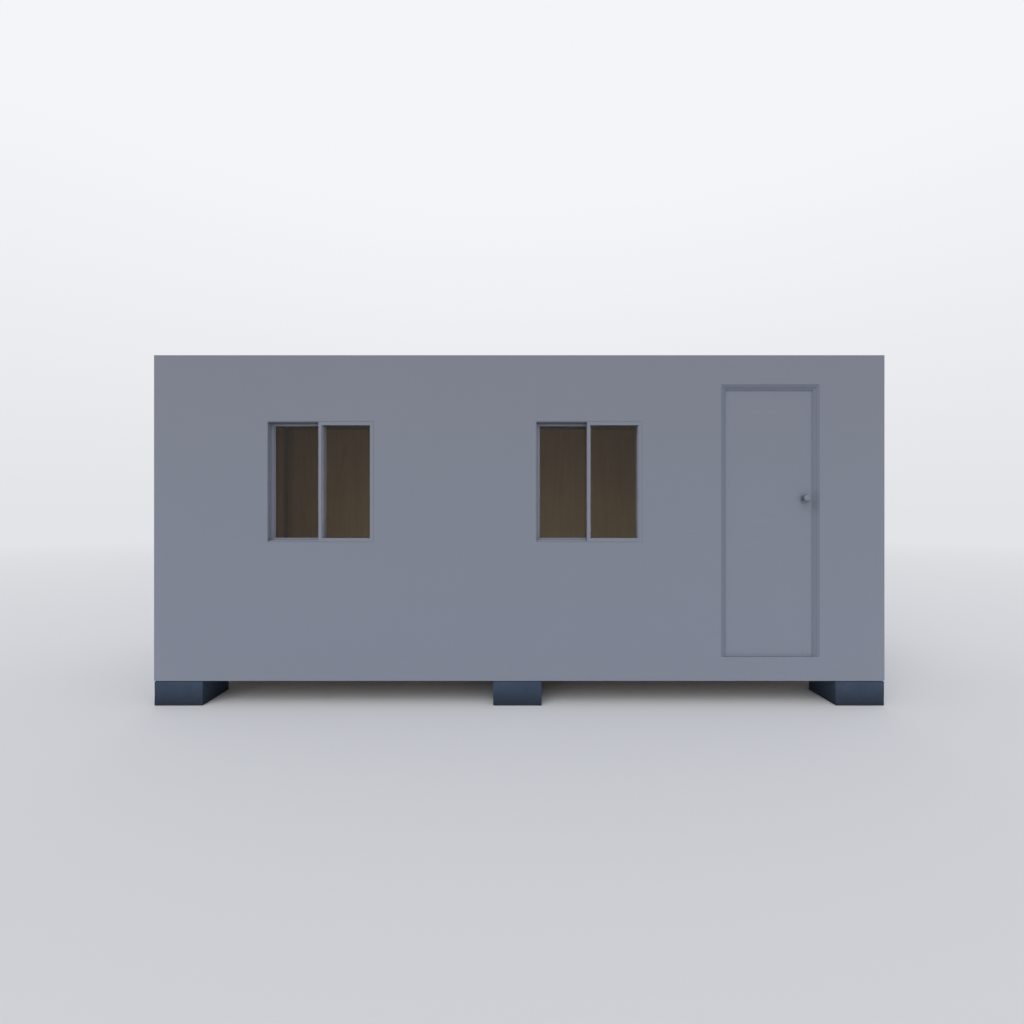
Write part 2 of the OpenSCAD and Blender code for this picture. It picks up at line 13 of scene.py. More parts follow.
import bmesh
import bpy
import numpy as np
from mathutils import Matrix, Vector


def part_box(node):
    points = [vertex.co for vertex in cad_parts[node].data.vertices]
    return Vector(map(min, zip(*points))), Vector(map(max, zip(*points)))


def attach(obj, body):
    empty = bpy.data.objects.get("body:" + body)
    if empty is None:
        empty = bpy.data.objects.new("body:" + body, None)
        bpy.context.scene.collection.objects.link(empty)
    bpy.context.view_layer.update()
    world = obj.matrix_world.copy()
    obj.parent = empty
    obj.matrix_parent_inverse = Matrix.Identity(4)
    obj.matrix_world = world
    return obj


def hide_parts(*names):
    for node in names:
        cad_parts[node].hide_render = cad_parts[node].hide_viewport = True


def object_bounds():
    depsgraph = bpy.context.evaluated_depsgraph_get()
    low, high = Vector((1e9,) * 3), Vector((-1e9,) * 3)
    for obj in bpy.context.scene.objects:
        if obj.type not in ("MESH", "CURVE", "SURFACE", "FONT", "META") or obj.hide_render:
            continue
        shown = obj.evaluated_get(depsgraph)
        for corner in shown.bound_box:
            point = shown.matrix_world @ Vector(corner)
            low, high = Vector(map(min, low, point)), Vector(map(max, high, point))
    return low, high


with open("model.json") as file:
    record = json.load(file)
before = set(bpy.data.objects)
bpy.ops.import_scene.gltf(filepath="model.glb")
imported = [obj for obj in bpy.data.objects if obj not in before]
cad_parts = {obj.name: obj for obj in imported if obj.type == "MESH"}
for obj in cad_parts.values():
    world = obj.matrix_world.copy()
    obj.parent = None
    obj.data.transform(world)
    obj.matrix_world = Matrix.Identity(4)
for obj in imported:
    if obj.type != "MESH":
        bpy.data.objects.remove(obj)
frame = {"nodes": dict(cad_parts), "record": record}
cad_low, cad_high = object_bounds()

SLOT_OF = {part["node"]: part["material_slot"] for part in frame["record"]["subparts"]}


# Nodes and materials


def add(tree, kind, inputs=None, **settings):
    """Adds a shader node with its settings, and sets or links the inputs that are named."""
    made = tree.nodes.new(kind)
    for name, value in settings.items():
        setattr(made, name, value)
    for name, value in (inputs or {}).items():
        if isinstance(value, bpy.types.NodeSocket):
            tree.links.new(value, made.inputs[name])
        else:
            made.inputs[name].default_value = value
    return made


def maths(tree, operation, first, second=0.0, clamp=False):
    """The result of one sum, product or the like of two values or sockets."""
    made = add(tree, "ShaderNodeMath", {0: first, 1: second}, operation=operation, use_clamp=clamp)
    return made.outputs[0]


def plus(tree, first, second):
    """First plus second."""
    return maths(tree, "ADD", first, second)


def minus(tree, first, second, clamp=False):
    """First minus second."""
    return maths(tree, "SUBTRACT", first, second, clamp)


def times(tree, first, second, clamp=False):
    """First times second."""
    return maths(tree, "MULTIPLY", first, second, clamp)


def spread(tree, value, low, high, to_low=0.0, to_high=1.0):
    """Carries a value from low..high over to to_low..to_high, and holds it there."""
    inputs = {"Value": value, "From Min": low, "From Max": high, "To Min": to_low, "To Max": to_high}
    return add(tree, "ShaderNodeMapRange", inputs).outputs["Result"]


def place(tree, scale=(1.0, 1.0, 1.0), shift=(0.0, 0.0, 0.0)):
    """Object coordinates, stretched and moved."""
    here = add(tree, "ShaderNodeTexCoord").outputs["Object"]
    inputs = {"Vector": here, "Scale": scale, "Location": shift}
    return add(tree, "ShaderNodeMapping", inputs).outputs["Vector"]


def parts_of(tree, vector=None):
    """The outputs X, Y and Z of a vector, or of the object coordinates."""
    return add(tree, "ShaderNodeSeparateXYZ", {0: place(tree) if vector is None else vector}).outputs


def drawn_out(axis, scale):
    """The scale for coordinates whose pattern is drawn out along one axis (0, 1 or 2)."""
    return tuple(scale if number == axis else 1.0 for number in range(3))


def from_spot(tree, x, z):
    """Distance from the line along Y through x, z."""
    here = parts_of(tree)
    across = minus(tree, here["X"], x)
    up = minus(tree, here["Z"], z)
    return maths(tree, "SQRT", plus(tree, times(tree, across, across), times(tree, up, up)))


def noise(tree, vector, scale, detail=3.0, roughness=0.55):
    """Smooth noise about 0.5."""
    inputs = {"Vector": vector, "Scale": scale, "Detail": detail, "Roughness": roughness}
    return add(tree, "ShaderNodeTexNoise", inputs).outputs["Fac"]


def bent(tree, vector, scale):
    """Coordinates pushed about by slow noise."""
    bend = noise(tree, vector, scale, 2.0)
    return add(tree, "ShaderNodeVectorMath", {0: vector, 1: bend}, operation="ADD").outputs[0]


def cells(tree, scale):
    """The outputs Distance and Color of cells about random points, 1 / scale apart."""
    return add(tree, "ShaderNodeTexVoronoi", {"Vector": place(tree), "Scale": scale}).outputs


def rgba(tone):
    """A tone as a colour socket takes it. A socket stays as it is."""
    return tone if isinstance(tone, bpy.types.NodeSocket) else (*tone, 1.0)


def blend_colour(tree, share, first, second):
    """Two colours mixed by a share from 0 to 1."""
    inputs = {0: share, 6: rgba(first), 7: rgba(second)}
    return add(tree, "ShaderNodeMix", inputs, data_type="RGBA").outputs[2]


def layered(tree, colour, *layers):
    """A colour with more laid over it, one mask and tone after the other."""
    for mask, tone in layers:
        colour = blend_colour(tree, mask, colour, tone)
    return colour


def linear(red, green, blue):
    """A colour given as it shows on a screen, 0 to 255, as the light that it stands for."""
    def one(part):
        part = part / 255.0
        return part / 12.92 if part <= 0.04045 else ((part + 0.055) / 1.055) ** 2.4
    return one(red), one(green), one(blue)


NUMBER, COLOUR = "NodeSocketFloat", "NodeSocketColor"


def effect(name, output="Mask", kind=NUMBER, **inputs):
    """A new node group with named inputs and one output, and its two end nodes."""
    group = bpy.data.node_groups.new(name, "ShaderNodeTree")
    for label, value in inputs.items():
        kind_in = NUMBER if isinstance(value, float) else COLOUR
        socket = group.interface.new_socket(label, in_out="INPUT", socket_type=kind_in)
        socket.default_value = value
    group.interface.new_socket(output, in_out="OUTPUT", socket_type=kind)
    return group, group.nodes.new("NodeGroupInput").outputs, group.nodes.new("NodeGroupOutput").inputs


def give_mask(group, given, result, *shares):
    """Gives out the product of the shares, times Amount, as the group's mask."""
    mask = shares[0]
    for share in shares[1:]:
        mask = times(group, mask, share)
    group.links.new(times(group, mask, given["Amount"], clamp=True), result["Mask"])


def make_tone_drift():
    """Colour times 1 plus or minus Amount, by smooth noise whose patches are about Size across."""
    group, given, result = effect(
        "tone_drift", "Colour", COLOUR, Colour=(0.5, 0.5, 0.5, 1.0), Amount=0.05, Size=0.5
    )
    patches = noise(group, place(group), maths(group, "DIVIDE", 1.0, given["Size"]), 4.0)
    sway = times(group, minus(group, patches, 0.5), 4.0)
    factor = plus(group, times(group, sway, given["Amount"]), 1.0)
    inputs = {0: given["Colour"], "Scale": factor}
    scaled = add(group, "ShaderNodeVectorMath", inputs, operation="SCALE").outputs[0]
    group.links.new(scaled, result["Colour"])
    return group


def make_ground_soil():
    """Mask that fades from the height Bottom up over Reach, broken into patches, times Amount."""
    group, given, result = effect("ground_soil", Bottom=0.2, Reach=0.4, Amount=0.3)
    height = parts_of(group)["Z"]
    above = maths(group, "DIVIDE", minus(group, height, given["Bottom"]), given["Reach"])
    fade = maths(group, "POWER", minus(group, 1.0, above, clamp=True), 2.5)
    patches = spread(group, noise(group, place(group, (1.0, 1.0, 1.6)), 5.5, 6.0, 0.65), 0.3, 0.75)
    give_mask(group, given, result, fade, patches)
    return group


def make_rain_runs():
    """Mask of thin upright streaks that start at the height Top and fade out over Reach below it."""
    group, given, result = effect("rain_runs", Top=2.8, Reach=0.6, Amount=0.2)
    height = parts_of(group)["Z"]
    below = maths(group, "DIVIDE", minus(group, given["Top"], height), given["Reach"])
    fade = maths(group, "POWER", minus(group, 1.0, below, clamp=True), 1.6)
    lines = spread(group, noise(group, place(group, (1.0, 1.0, 0.05)), 26.0, 3.0, 0.7), 0.52, 0.72)
    breaks = spread(group, noise(group, place(group, (1.0, 1.0, 0.4)), 2.3, 2.0), 0.4, 0.65)
    give_mask(group, given, result, fade, lines, breaks)
    return group


def make_fine_peel():
    """Height of a sprayed and baked coat: low smooth waves about Size across, with finer ones on top."""
    group, given, result = effect("fine_peel", "Height", Size=0.003)
    scale = maths(group, "DIVIDE", 1.0, given["Size"])
    coarse = noise(group, place(group), scale, 1.0)
    fine = noise(group, place(group), times(group, scale, 4.0), 2.0)
    group.links.new(plus(group, coarse, times(group, fine, 0.25)), result["Height"])
    return group


def make_worn_edges():
    """Mask along the arrises: how far the normal averaged over Radius leaves the face's, torn by noise."""
    group, given, result = effect("worn_edges", Radius=0.004, Amount=0.5, Grain=60.0)
    rounded = add(group, "ShaderNodeBevel", {"Radius": given["Radius"]}, samples=6).outputs[0]
    flat = add(group, "ShaderNodeNewGeometry").outputs["Normal"]
    agree = add(group, "ShaderNodeVectorMath", {0: rounded, 1: flat}, operation="DOT_PRODUCT")
    turn = spread(group, minus(group, 1.0, agree.outputs["Value"]), 0.02, 0.22)
    breaks = spread(group, noise(group, place(group), given["Grain"], 4.0, 0.7), 0.38, 0.62)
    give_mask(group, given, result, turn, breaks)
    return group


def make_knob_side_cloud():
    """Mask of a darker cloud: full at the spot X, Z, none at Reach from it, torn by noise."""
    group, given, result = effect("knob_side_cloud", X=0.0, Z=1.0, Reach=0.15, Amount=0.3)
    share = maths(group, "DIVIDE", from_spot(group, given["X"], given["Z"]), given["Reach"])
    near = minus(group, 1.0, share, clamp=True)
    torn = spread(group, noise(group, place(group), 26.0, 4.0, 0.6), 0.3, 0.7, 0.35, 1.0)
    give_mask(group, given, result, near, torn)
    return group


def make_ledge_dirt_and_shade():
    """Mask of dirt and painted shade on surfaces that face up, torn by noise, times Amount."""
    group, given, result = effect("ledge_dirt_and_shade", Amount=0.5)
    normal = add(group, "ShaderNodeNewGeometry").outputs["Normal"]
    facing_up = spread(group, parts_of(group, normal)["Z"], 0.7, 0.95)
    patches = spread(group, noise(group, place(group), 9.0, 5.0, 0.65), 0.3, 0.7, 0.6, 1.0)
    give_mask(group, given, result, facing_up, patches)
    return group


def make_rub_marks():
    """Mask of long fine scratches along X and Z, the way that loads and brushes rub past."""
    group, given, result = effect("rub_marks", Scale=8.0, Amount=0.2)
    along = spread(group, noise(group, place(group, (0.35, 1.0, 14.0)), given["Scale"], 2.0), 0.66, 0.70)
    up = spread(group, noise(group, place(group, (14.0, 1.0, 0.5)), given["Scale"], 2.0), 0.67, 0.71)
    where = spread(group, noise(group, place(group, shift=(3.0, 1.0, 2.0)), 1.1, 2.0), 0.45, 0.7)
    give_mask(group, given, result, maths(group, "MAXIMUM", along, up), where)
    return group


TONE_DRIFT = make_tone_drift()
GROUND_SOIL = make_ground_soil()
RAIN_RUNS = make_rain_runs()
FINE_PEEL = make_fine_peel()
WORN_EDGES = make_worn_edges()
RUB_MARKS = make_rub_marks()
KNOB_SIDE_CLOUD = make_knob_side_cloud()
LEDGE_DIRT_AND_SHADE = make_ledge_dirt_and_shade()


def use(tree, group, **inputs):
    """Places an effect in a material with its own values, and gives its output."""
    return add(tree, "ShaderNodeGroup", inputs, node_tree=group).outputs[0]


def drifted(tree, tone, amount, size):
    """A tone that drifts lighter and darker by the amount in patches of the size."""
    return use(tree, TONE_DRIFT, Colour=rgba(tone), Amount=amount, Size=size)


FINISHES = {}


def new_material(name, **shine):
    """Puts an empty material into FINISHES. Its Principled shader's plain sockets are set by name."""
    material = FINISHES[name] = bpy.data.materials.new(name)
    material.use_nodes = True
    tree = material.node_tree
    shader = tree.nodes["Principled BSDF"]
    for label, value in shine.items():
        shader.inputs[label.replace("_", " ")].default_value = value
    return tree, shader


def finish_surface(tree, shader, colour, roughness, height=None, relief=0.0):
    """Joins a colour, a roughness and a height in metres to the shader."""
    tree.links.new(colour, shader.inputs["Base Color"])
    tree.links.new(roughness, shader.inputs["Roughness"])
    if height is not None:
        bump = add(tree, "ShaderNodeBump", {"Height": height, "Strength": 1.0, "Distance": relief})
        tree.links.new(bump.outputs["Normal"], shader.inputs["Normal"])


def show_mix(tree, share, shader, other):
    """Shows a mix of two shaders, by the share of the other."""
    both = add(tree, "ShaderNodeMixShader", {0: share, 1: shader.outputs[0], 2: other.outputs[0]})
    tree.links.new(both.outputs[0], tree.nodes["Material Output"].inputs["Surface"])


# Places and tones that the finishes follow. A darker cloud lies on the door beside and below its knob.
SKIRT_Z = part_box("front_wall")[0].z
WALL_TOP_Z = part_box("roof_capping")[1].z
WALL_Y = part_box("front_wall")[0].y
PAD_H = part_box("pad_front_left")[1].z
FLOOR_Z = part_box("floor_covering")[1].z
LINING_T = 0.010
ROOM_END_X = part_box("end_linings")[1].x - LINING_T
ROOM_SIDE_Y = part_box("rear_lining")[0].y
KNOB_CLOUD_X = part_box("outer_knob")[1].x + 0.02
KNOB_CLOUD_Z = (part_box("outer_knob")[0].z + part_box("outer_knob")[1].z) / 2.0 - 0.03
DUST = linear(150, 141, 128)
# Gains of the painted light low down and of the painted shade high up
LIT_LOW_GAIN = (1.045, 1.065, 1.080)
SHADED_HIGH_GAIN = (0.945, 0.922, 0.902)
# Reach of the painted shade in the room's corners
CORNER_SHADE_REACH = 0.12


def painted(name, tone, roughness=0.45, soil=0.1, runs=0.06, peel=0.004, knob_cloud=0.0, ledge_dirt_shade=0.0):
    """Sprayed and baked paint: painted light and shade by height, lighter low down and darker and warmer
    high up, with dust low down, faint runs and a darker cloud by the knob.
    """
    tree, shader = new_material(name, Specular_IOR_Level=0.4)
    # Painted light and shade: lighter at the skirt, darker and warmer at the wall's top
    painted_height_shade = spread(tree, parts_of(tree)["Z"], SKIRT_Z, WALL_TOP_Z)
    lit_low_tone = tuple(part * gain for part, gain in zip(tone, LIT_LOW_GAIN))
    shaded_high_tone = tuple(part * gain for part, gain in zip(tone, SHADED_HIGH_GAIN))
    base = drifted(tree, blend_colour(tree, painted_height_shade, lit_low_tone, shaded_high_tone), 0.008, 0.9)
    low = use(tree, GROUND_SOIL, Bottom=SKIRT_Z, Reach=0.55, Amount=soil)
    streaks = use(tree, RAIN_RUNS, Top=WALL_TOP_Z, Reach=0.7, Amount=runs)
    marks = use(tree, RUB_MARKS, Scale=5.0, Amount=0.05)
    layers = [(low, DUST), (streaks, linear(100, 101, 102)), (marks, linear(182, 186, 193))]
    if knob_cloud:
        # A darker cloud beside and below the knob
        knob_cloud_mask = use(tree, KNOB_SIDE_CLOUD, X=KNOB_CLOUD_X, Z=KNOB_CLOUD_Z, Reach=0.13, Amount=knob_cloud)
        layers.append((knob_cloud_mask, linear(70, 72, 80)))
    if ledge_dirt_shade:
        # Dirt and painted shade on the ledges that face up
        layers.append((use(tree, LEDGE_DIRT_AND_SHADE, Amount=ledge_dirt_shade), linear(56, 62, 72)))
    dull = plus(tree, times(tree, low, 0.4), roughness)
    dull = plus(tree, dull, times(tree, noise(tree, place(tree), 3.0), 0.08))
    coat = use(tree, FINE_PEEL, Size=peel)
    finish_surface(tree, shader, layered(tree, base, *layers), dull, coat, 0.00012)


def pad_concrete():
    """Blue-grey cast concrete: darker and lighter clouds, sharp air holes and worn arrises, with painted
    shade that darkens it towards the bottom and patches of damp and painted shade at the foot.
    """
    tree, shader = new_material("pad_concrete", Specular_IOR_Level=0.3)
    clouds = spread(tree, noise(tree, place(tree), 6.0, 6.0, 0.6), 0.3, 0.7)
    sand = spread(tree, noise(tree, place(tree), 240.0, 3.0, 0.7), 0.35, 0.65)
    round_holes = spread(tree, cells(tree, 70.0)["Distance"], 0.10, 0.17, 1.0, 0.0)
    holes = times(tree, round_holes, spread(tree, noise(tree, place(tree), 12.0, 2.0), 0.48, 0.56))
    worn = use(tree, WORN_EDGES, Radius=0.012, Amount=0.4, Grain=45.0)
    # Darker towards the bottom: painted shade up the block, and patches of damp and painted shade at the
    # foot
    damp_and_shade = use(tree, GROUND_SOIL, Bottom=0.0, Reach=0.12, Amount=0.7)
    foot = spread(tree, parts_of(tree)["Z"], 0.0, PAD_H * 0.85, 1.0, 0.0)
    base = blend_colour(tree, clouds, linear(44, 58, 78), linear(59, 73, 94))
    grit = linear(98, 108, 120)
    colour = layered(
        tree, base, (foot, linear(22, 31, 46)), (times(tree, sand, 0.22), grit), (worn, grit),
        (holes, linear(30, 36, 45)), (damp_and_shade, linear(38, 45, 56)),
    )
    height = plus(tree, times(tree, sand, 0.3), times(tree, clouds, 0.8))
    height = minus(tree, height, times(tree, holes, 1.6))
    dull = spread(tree, clouds, 0.0, 1.0, 0.82, 0.95)
    finish_surface(tree, shader, colour, dull, height, 0.0012)


def chassis_steel():
    """Dark primer on rolled steel, rubbed to rust along its edges, dusty near the ground."""
    tree, shader = new_material("chassis_steel", Specular_IOR_Level=0.4)
    base = drifted(tree, linear(58, 60, 63), 0.10, 0.12)
    worn = use(tree, WORN_EDGES, Radius=0.004, Amount=0.8, Grain=30.0)
    low = use(tree, GROUND_SOIL, Bottom=SKIRT_Z - 0.01, Reach=0.12, Amount=0.6)
    colour = layered(tree, base, (worn, linear(104, 66, 44)), (low, DUST))
    dull = plus(tree, times(tree, worn, 0.3), 0.5)
    grain = noise(tree, place(tree), 180.0, 3.0)
    finish_surface(tree, shader, colour, dull, grain, 0.0004)


def joist_steel():
    """Galvanised steel: interlocking zinc crystals, each with its own grey."""
    tree, shader = new_material("joist_steel", Metallic=1.0)
    grey = parts_of(tree, cells(tree, 60.0)["Color"])["X"]
    colour = blend_colour(tree, grey, linear(128, 132, 136), linear(168, 171, 174))
    stain = spread(tree, noise(tree, place(tree), 4.0, 5.0, 0.7), 0.5, 0.75, 0.0, 0.6)
    colour = blend_colour(tree, stain, colour, linear(186, 184, 178))
    dull = spread(tree, grey, 0.0, 1.0, 0.34, 0.55)
    finish_surface(tree, shader, colour, dull, grey, 0.0001)


def timber(name, dark, light, along):
    """Sawn wood: grain lines that run along one axis (0, 1 or 2) and bend with slow noise."""
    tree, shader = new_material(name, Specular_IOR_Level=0.3)
    here = place(tree, drawn_out(along, 0.06))
    lines = noise(tree, bent(tree, here, 7.0), 30.0, 5.0, 0.65)
    pores = noise(tree, here, 270.0, 2.0, 0.7)
    colour = blend_colour(tree, spread(tree, lines, 0.34, 0.68), dark, light)
    colour = blend_colour(tree, spread(tree, pores, 0.56, 0.72, 0.0, 0.35), colour, dark)
    dull = spread(tree, lines, 0.3, 0.7, 0.62, 0.78)
    finish_surface(tree, shader, colour, dull, plus(tree, lines, pores), 0.0004)


def floor_vinyl():
    """Sheet vinyl with a fine flecked pattern, dulled where people walk in."""
    tree, shader = new_material("floor_vinyl", Specular_IOR_Level=0.45)
    grey = parts_of(tree, cells(tree, 260.0)["Color"])["Y"]
    colour = blend_colour(tree, maths(tree, "POWER", grey, 3.0), linear(92, 88, 82), linear(140, 134, 124))
    walked = spread(tree, noise(tree, place(tree), 2.0, 4.0), 0.4, 0.65)
    colour = blend_colour(tree, times(tree, walked, 0.25), colour, linear(120, 112, 100))
    dull = spread(tree, walked, 0.0, 1.0, 0.35, 0.6)
    finish_surface(tree, shader, colour, dull, grey, 0.00005)


def inner_lining():
    """Wood-faced lining board, light brown, with upright grain, and painted shade that darkens it towards
    the room's corners.
    """
    tree, shader = new_material("inner_lining", Specular_IOR_Level=0.3)
    here = place(tree, drawn_out(2, 0.04))
    lines = noise(tree, bent(tree, here, 3.0), 22.0, 5.0, 0.6)
    stripe = spread(tree, lines, 0.32, 0.7)
    base = blend_colour(tree, stripe, linear(185, 160, 123), linear(196, 171, 134))
    pores = spread(tree, noise(tree, here, 420.0, 2.0, 0.6), 0.58, 0.7)
    parts = parts_of(tree)
    # Painted shade: darker within a short reach of the room's corners
    from_end = minus(tree, ROOM_END_X, maths(tree, "ABSOLUTE", parts["X"]))
    from_side = minus(tree, ROOM_SIDE_Y, maths(tree, "ABSOLUTE", parts["Y"]))
    corner = spread(tree, plus(tree, from_end, from_side), 0.0, CORNER_SHADE_REACH, 0.9, 0.0)
    specks = times(tree, pores, 0.12)
    colour = layered(tree, base, (specks, linear(150, 122, 90)), (corner, linear(146, 127, 101)))
    dull = spread(tree, lines, 0.3, 0.7, 0.48, 0.6)
    finish_surface(tree, shader, colour, dull, minus(tree, lines, pores), 0.00015)


def ceiling_board():
    """Pale textured ceiling board."""
    tree, shader = new_material("ceiling_board", Specular_IOR_Level=0.3)
    base = drifted(tree, linear(170, 160, 146), 0.03, 0.5)
    stipple = noise(tree, place(tree), 320.0, 3.0, 0.7)
    finish_surface(tree, shader, base, spread(tree, stipple, 0.3, 0.7, 0.7, 0.85), stipple, 0.0008)


def roof_metal():
    """Coated roof sheet, chalked by the sun, with grime in the pans towards the low rear edge."""
    tree, shader = new_material("roof_metal", Specular_IOR_Level=0.4)
    base = drifted(tree, linear(166, 171, 176), 0.05, 0.35)
    low_edge = spread(tree, parts_of(tree)["Y"], -0.2, cad_high.y)
    grime = spread(tree, noise(tree, place(tree, (1.0, 0.18, 1.0)), 9.0, 6.0, 0.7), 0.42, 0.72)
    grime = times(tree, grime, plus(tree, times(tree, low_edge, 0.6), 0.22))
    colour = blend_colour(tree, grime, base, linear(112, 108, 98))
    dull = plus(tree, times(tree, grime, 0.4), 0.4)
    finish_surface(tree, shader, colour, dull, use(tree, FINE_PEEL, Size=0.005), 0.0002)


def grey_plastic(name, tone, roughness=0.5):
    """Moulded plastic, faintly mottled and a little chalked."""
    tree, shader = new_material(name, Specular_IOR_Level=0.45)
    base = drifted(tree, tone, 0.06, 0.05)
    grain = noise(tree, place(tree), 400.0, 3.0)
    dull = spread(tree, grain, 0.3, 0.7, roughness, roughness + 0.15)
    finish_surface(tree, shader, base, dull, grain, 0.0002)


def bare_metal(name, tone, roughness, along, worn=0.3, metallic=1.0):
    """Satin metal with brushing that runs along one axis (0, 1 or 2), brighter where it is rubbed."""
    tree, shader = new_material(name, Metallic=metallic)
    brushing = noise(tree, place(tree, drawn_out(along, 0.03)), 300.0, 3.0, 0.7)
    base = drifted(tree, tone, 0.05, 0.03)
    rubbed = use(tree, WORN_EDGES, Radius=0.002, Amount=worn, Grain=90.0)
    colour = blend_colour(tree, rubbed, base, linear(226, 227, 228))
    dull = plus(tree, times(tree, brushing, 0.18), roughness - 0.09)
    finish_surface(tree, shader, colour, dull, brushing, 0.00006)


def window_glass():
    """Float glass with a faint bronze tint. Rays from lamps pass, so that the room behind is lit."""
    tree, shader = new_material("window_glass", IOR=1.25, Transmission_Weight=1.0)
    film = noise(tree, place(tree, (1.0, 1.0, 0.5)), 2.5, 5.0, 0.65)
    hazy = spread(tree, film, 0.4, 0.7, 0.0, 0.2)
    tint = blend_colour(tree, hazy, linear(250, 248, 245), linear(240, 238, 234))
    finish_surface(tree, shader, tint, spread(tree, film, 0.5, 0.8, 0.0, 0.04))
    clear = add(tree, "ShaderNodeBsdfTransparent", {"Color": (0.975, 0.97, 0.96, 1.0)})
    for_lamps = add(tree, "ShaderNodeLightPath").outputs["Is Shadow Ray"]
    show_mix(tree, for_lamps, shader, clear)


def knob_metal():
    """Satin stainless, turned: fine rings round the knob's axis, which runs along Y."""
    tree, shader = new_material("knob_metal", Metallic=0.8)
    low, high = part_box("outer_knob")
    radius = from_spot(tree, (low.x + high.x) / 2, (low.z + high.z) / 2)
    spot = add(tree, "ShaderNodeCombineXYZ", {"X": radius, "Y": parts_of(tree)["Y"]}).outputs[0]
    rings = noise(tree, spot, 1600.0, 2.0, 0.6)
    base = drifted(tree, linear(138, 145, 155), 0.03, 0.02)
    smear = spread(tree, noise(tree, place(tree), 60.0, 4.0, 0.6), 0.45, 0.7, 0.0, 0.10)
    dull = plus(tree, plus(tree, times(tree, rings, 0.08), 0.36), smear)
    finish_surface(tree, shader, base, dull, rings, 0.00003)


# The paint's tone as it shows in shade, darker and bluer than the white paint itself: painted shade. The
# sash below takes the same shaded tone.
SHADED_WALL_TONE = linear(126, 131, 144)

painted("wall_skin", SHADED_WALL_TONE)
painted("capping_metal", SHADED_WALL_TONE, runs=0.2, soil=0.0, ledge_dirt_shade=0.35)
# The frame's paint is lighter than the sash's, though both are one paint: painted light that offsets the
# shade in the recess
painted("window_frame", linear(143, 149, 162), roughness=0.36, soil=0.0, peel=0.002, ledge_dirt_shade=0.9)
painted("window_sash", linear(125, 130, 143), roughness=0.36, soil=0.0, peel=0.002)
# The casing's paint is darker than the wall's, though both are one paint: painted shade on its sloped faces
painted("door_casing", linear(112, 118, 133), roughness=0.4, peel=0.002, knob_cloud=0.6)
painted("door_paint", SHADED_WALL_TONE, roughness=0.4, peel=0.003, knob_cloud=0.2)
pad_concrete()
chassis_steel()
joist_steel()
timber("floor_board", linear(128, 98, 66), linear(172, 138, 98), 0)
timber("roof_timber", linear(150, 116, 76), linear(196, 162, 118), 1)
floor_vinyl()
inner_lining()
ceiling_board()
roof_metal()
grey_plastic("spout_plastic", linear(92, 95, 98))
window_glass()
bare_metal("threshold_metal", linear(136, 142, 156), 0.55, 0, worn=0.1, metallic=0.25)
bare_metal("hinge_steel", linear(172, 173, 174), 0.34, 2)
bare_metal("latch_steel", linear(182, 183, 184), 0.32, 2)
knob_metal()
grey_plastic("seal_rubber", linear(78, 78, 82), 0.6)
# The pale seal is lighter than the paint round it, so it shows about as light as open faces where it sits
# in shaded gaps and behind panes: painted light
grey_plastic("pale_seal", linear(160, 166, 180), 0.7)
# The trim is a darker brown than the lining, so the coves in the room's corners show as the corners' shade:
# painted shade
grey_plastic("trim_plastic", linear(138, 119, 92), 0.45)
bare_metal("screw_zinc", linear(168, 169, 170), 0.36, 1, worn=0.0)

for name, thing in frame["nodes"].items():
    thing.data.materials.clear()
    thing.data.materials.append(FINISHES[SLOT_OF[name]])


# Shapes


def stand(name, data):
    """A new object with the given data, in the scene."""
    thing = bpy.data.objects.new(name, data)
    bpy.context.scene.collection.objects.link(thing)
    return thing


def mesh_of(name, points, faces, slot, body, caps=(), smooth=False):
    """A piece of points (n, 3), quads (m, 4) and end caps, on a body and with a slot's finish."""
    mesh = bpy.data.meshes.new(name)
    mesh.from_pydata(points.reshape(-1, 3), [], faces.reshape(-1, 4).tolist() + [list(cap) for cap in caps])
    mesh.polygons.foreach_set("use_smooth", np.full(len(mesh.polygons), smooth))
    mesh.materials.append(FINISHES[slot])
    join_doubles(mesh)
    piece = stand(name, mesh)
    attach(piece, body)
    return piece


def join_doubles(mesh):
    """Closes the poles and seams of a surface and turns its faces outwards."""
    work = bmesh.new()
    work.from_mesh(mesh)
    bmesh.ops.remove_doubles(work, verts=work.verts, dist=1e-6)
    bmesh.ops.recalc_face_normals(work, faces=work.faces)
    work.to_mesh(mesh)
    work.free()


def points_of(mesh):
    """The points of a mesh, as an array (n, 3)."""
    points = np.empty(len(mesh.vertices) * 3)
    mesh.vertices.foreach_get("co", points)
    return points.reshape(-1, 3)


def grid_faces(rows, columns, wrap_rows=False, wrap_columns=False):
    """Quads of a grid of points whose index is row * columns + column, closed round either way if asked."""
    row = np.arange(rows if wrap_rows else rows - 1)[:, None]
    column = np.arange(columns if wrap_columns else columns - 1)[None, :]
    next_row = (row + 1) % rows
    next_column = (column + 1) % columns
    corners = (row * columns + column, row * columns + next_column,
               next_row * columns + next_column, next_row * columns + column)
    return np.stack(np.broadcast_arrays(*corners), axis=-1).reshape(-1, 4)


def waves(points, seed, size, count=5):
    """Smooth random value at each point: the mean of a few sine waves with random directions and phases."""
    random = np.random.default_rng(seed)
    directions = random.normal(size=(count, 3)) / size
    phases = random.uniform(0.0, 2.0 * math.pi, count)
    return np.sin(points @ directions.T + phases).mean(axis=-1)


def box_of(node):
    """Lowest and highest corner of a node, as arrays."""
    return tuple(np.array(corner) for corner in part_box(node))


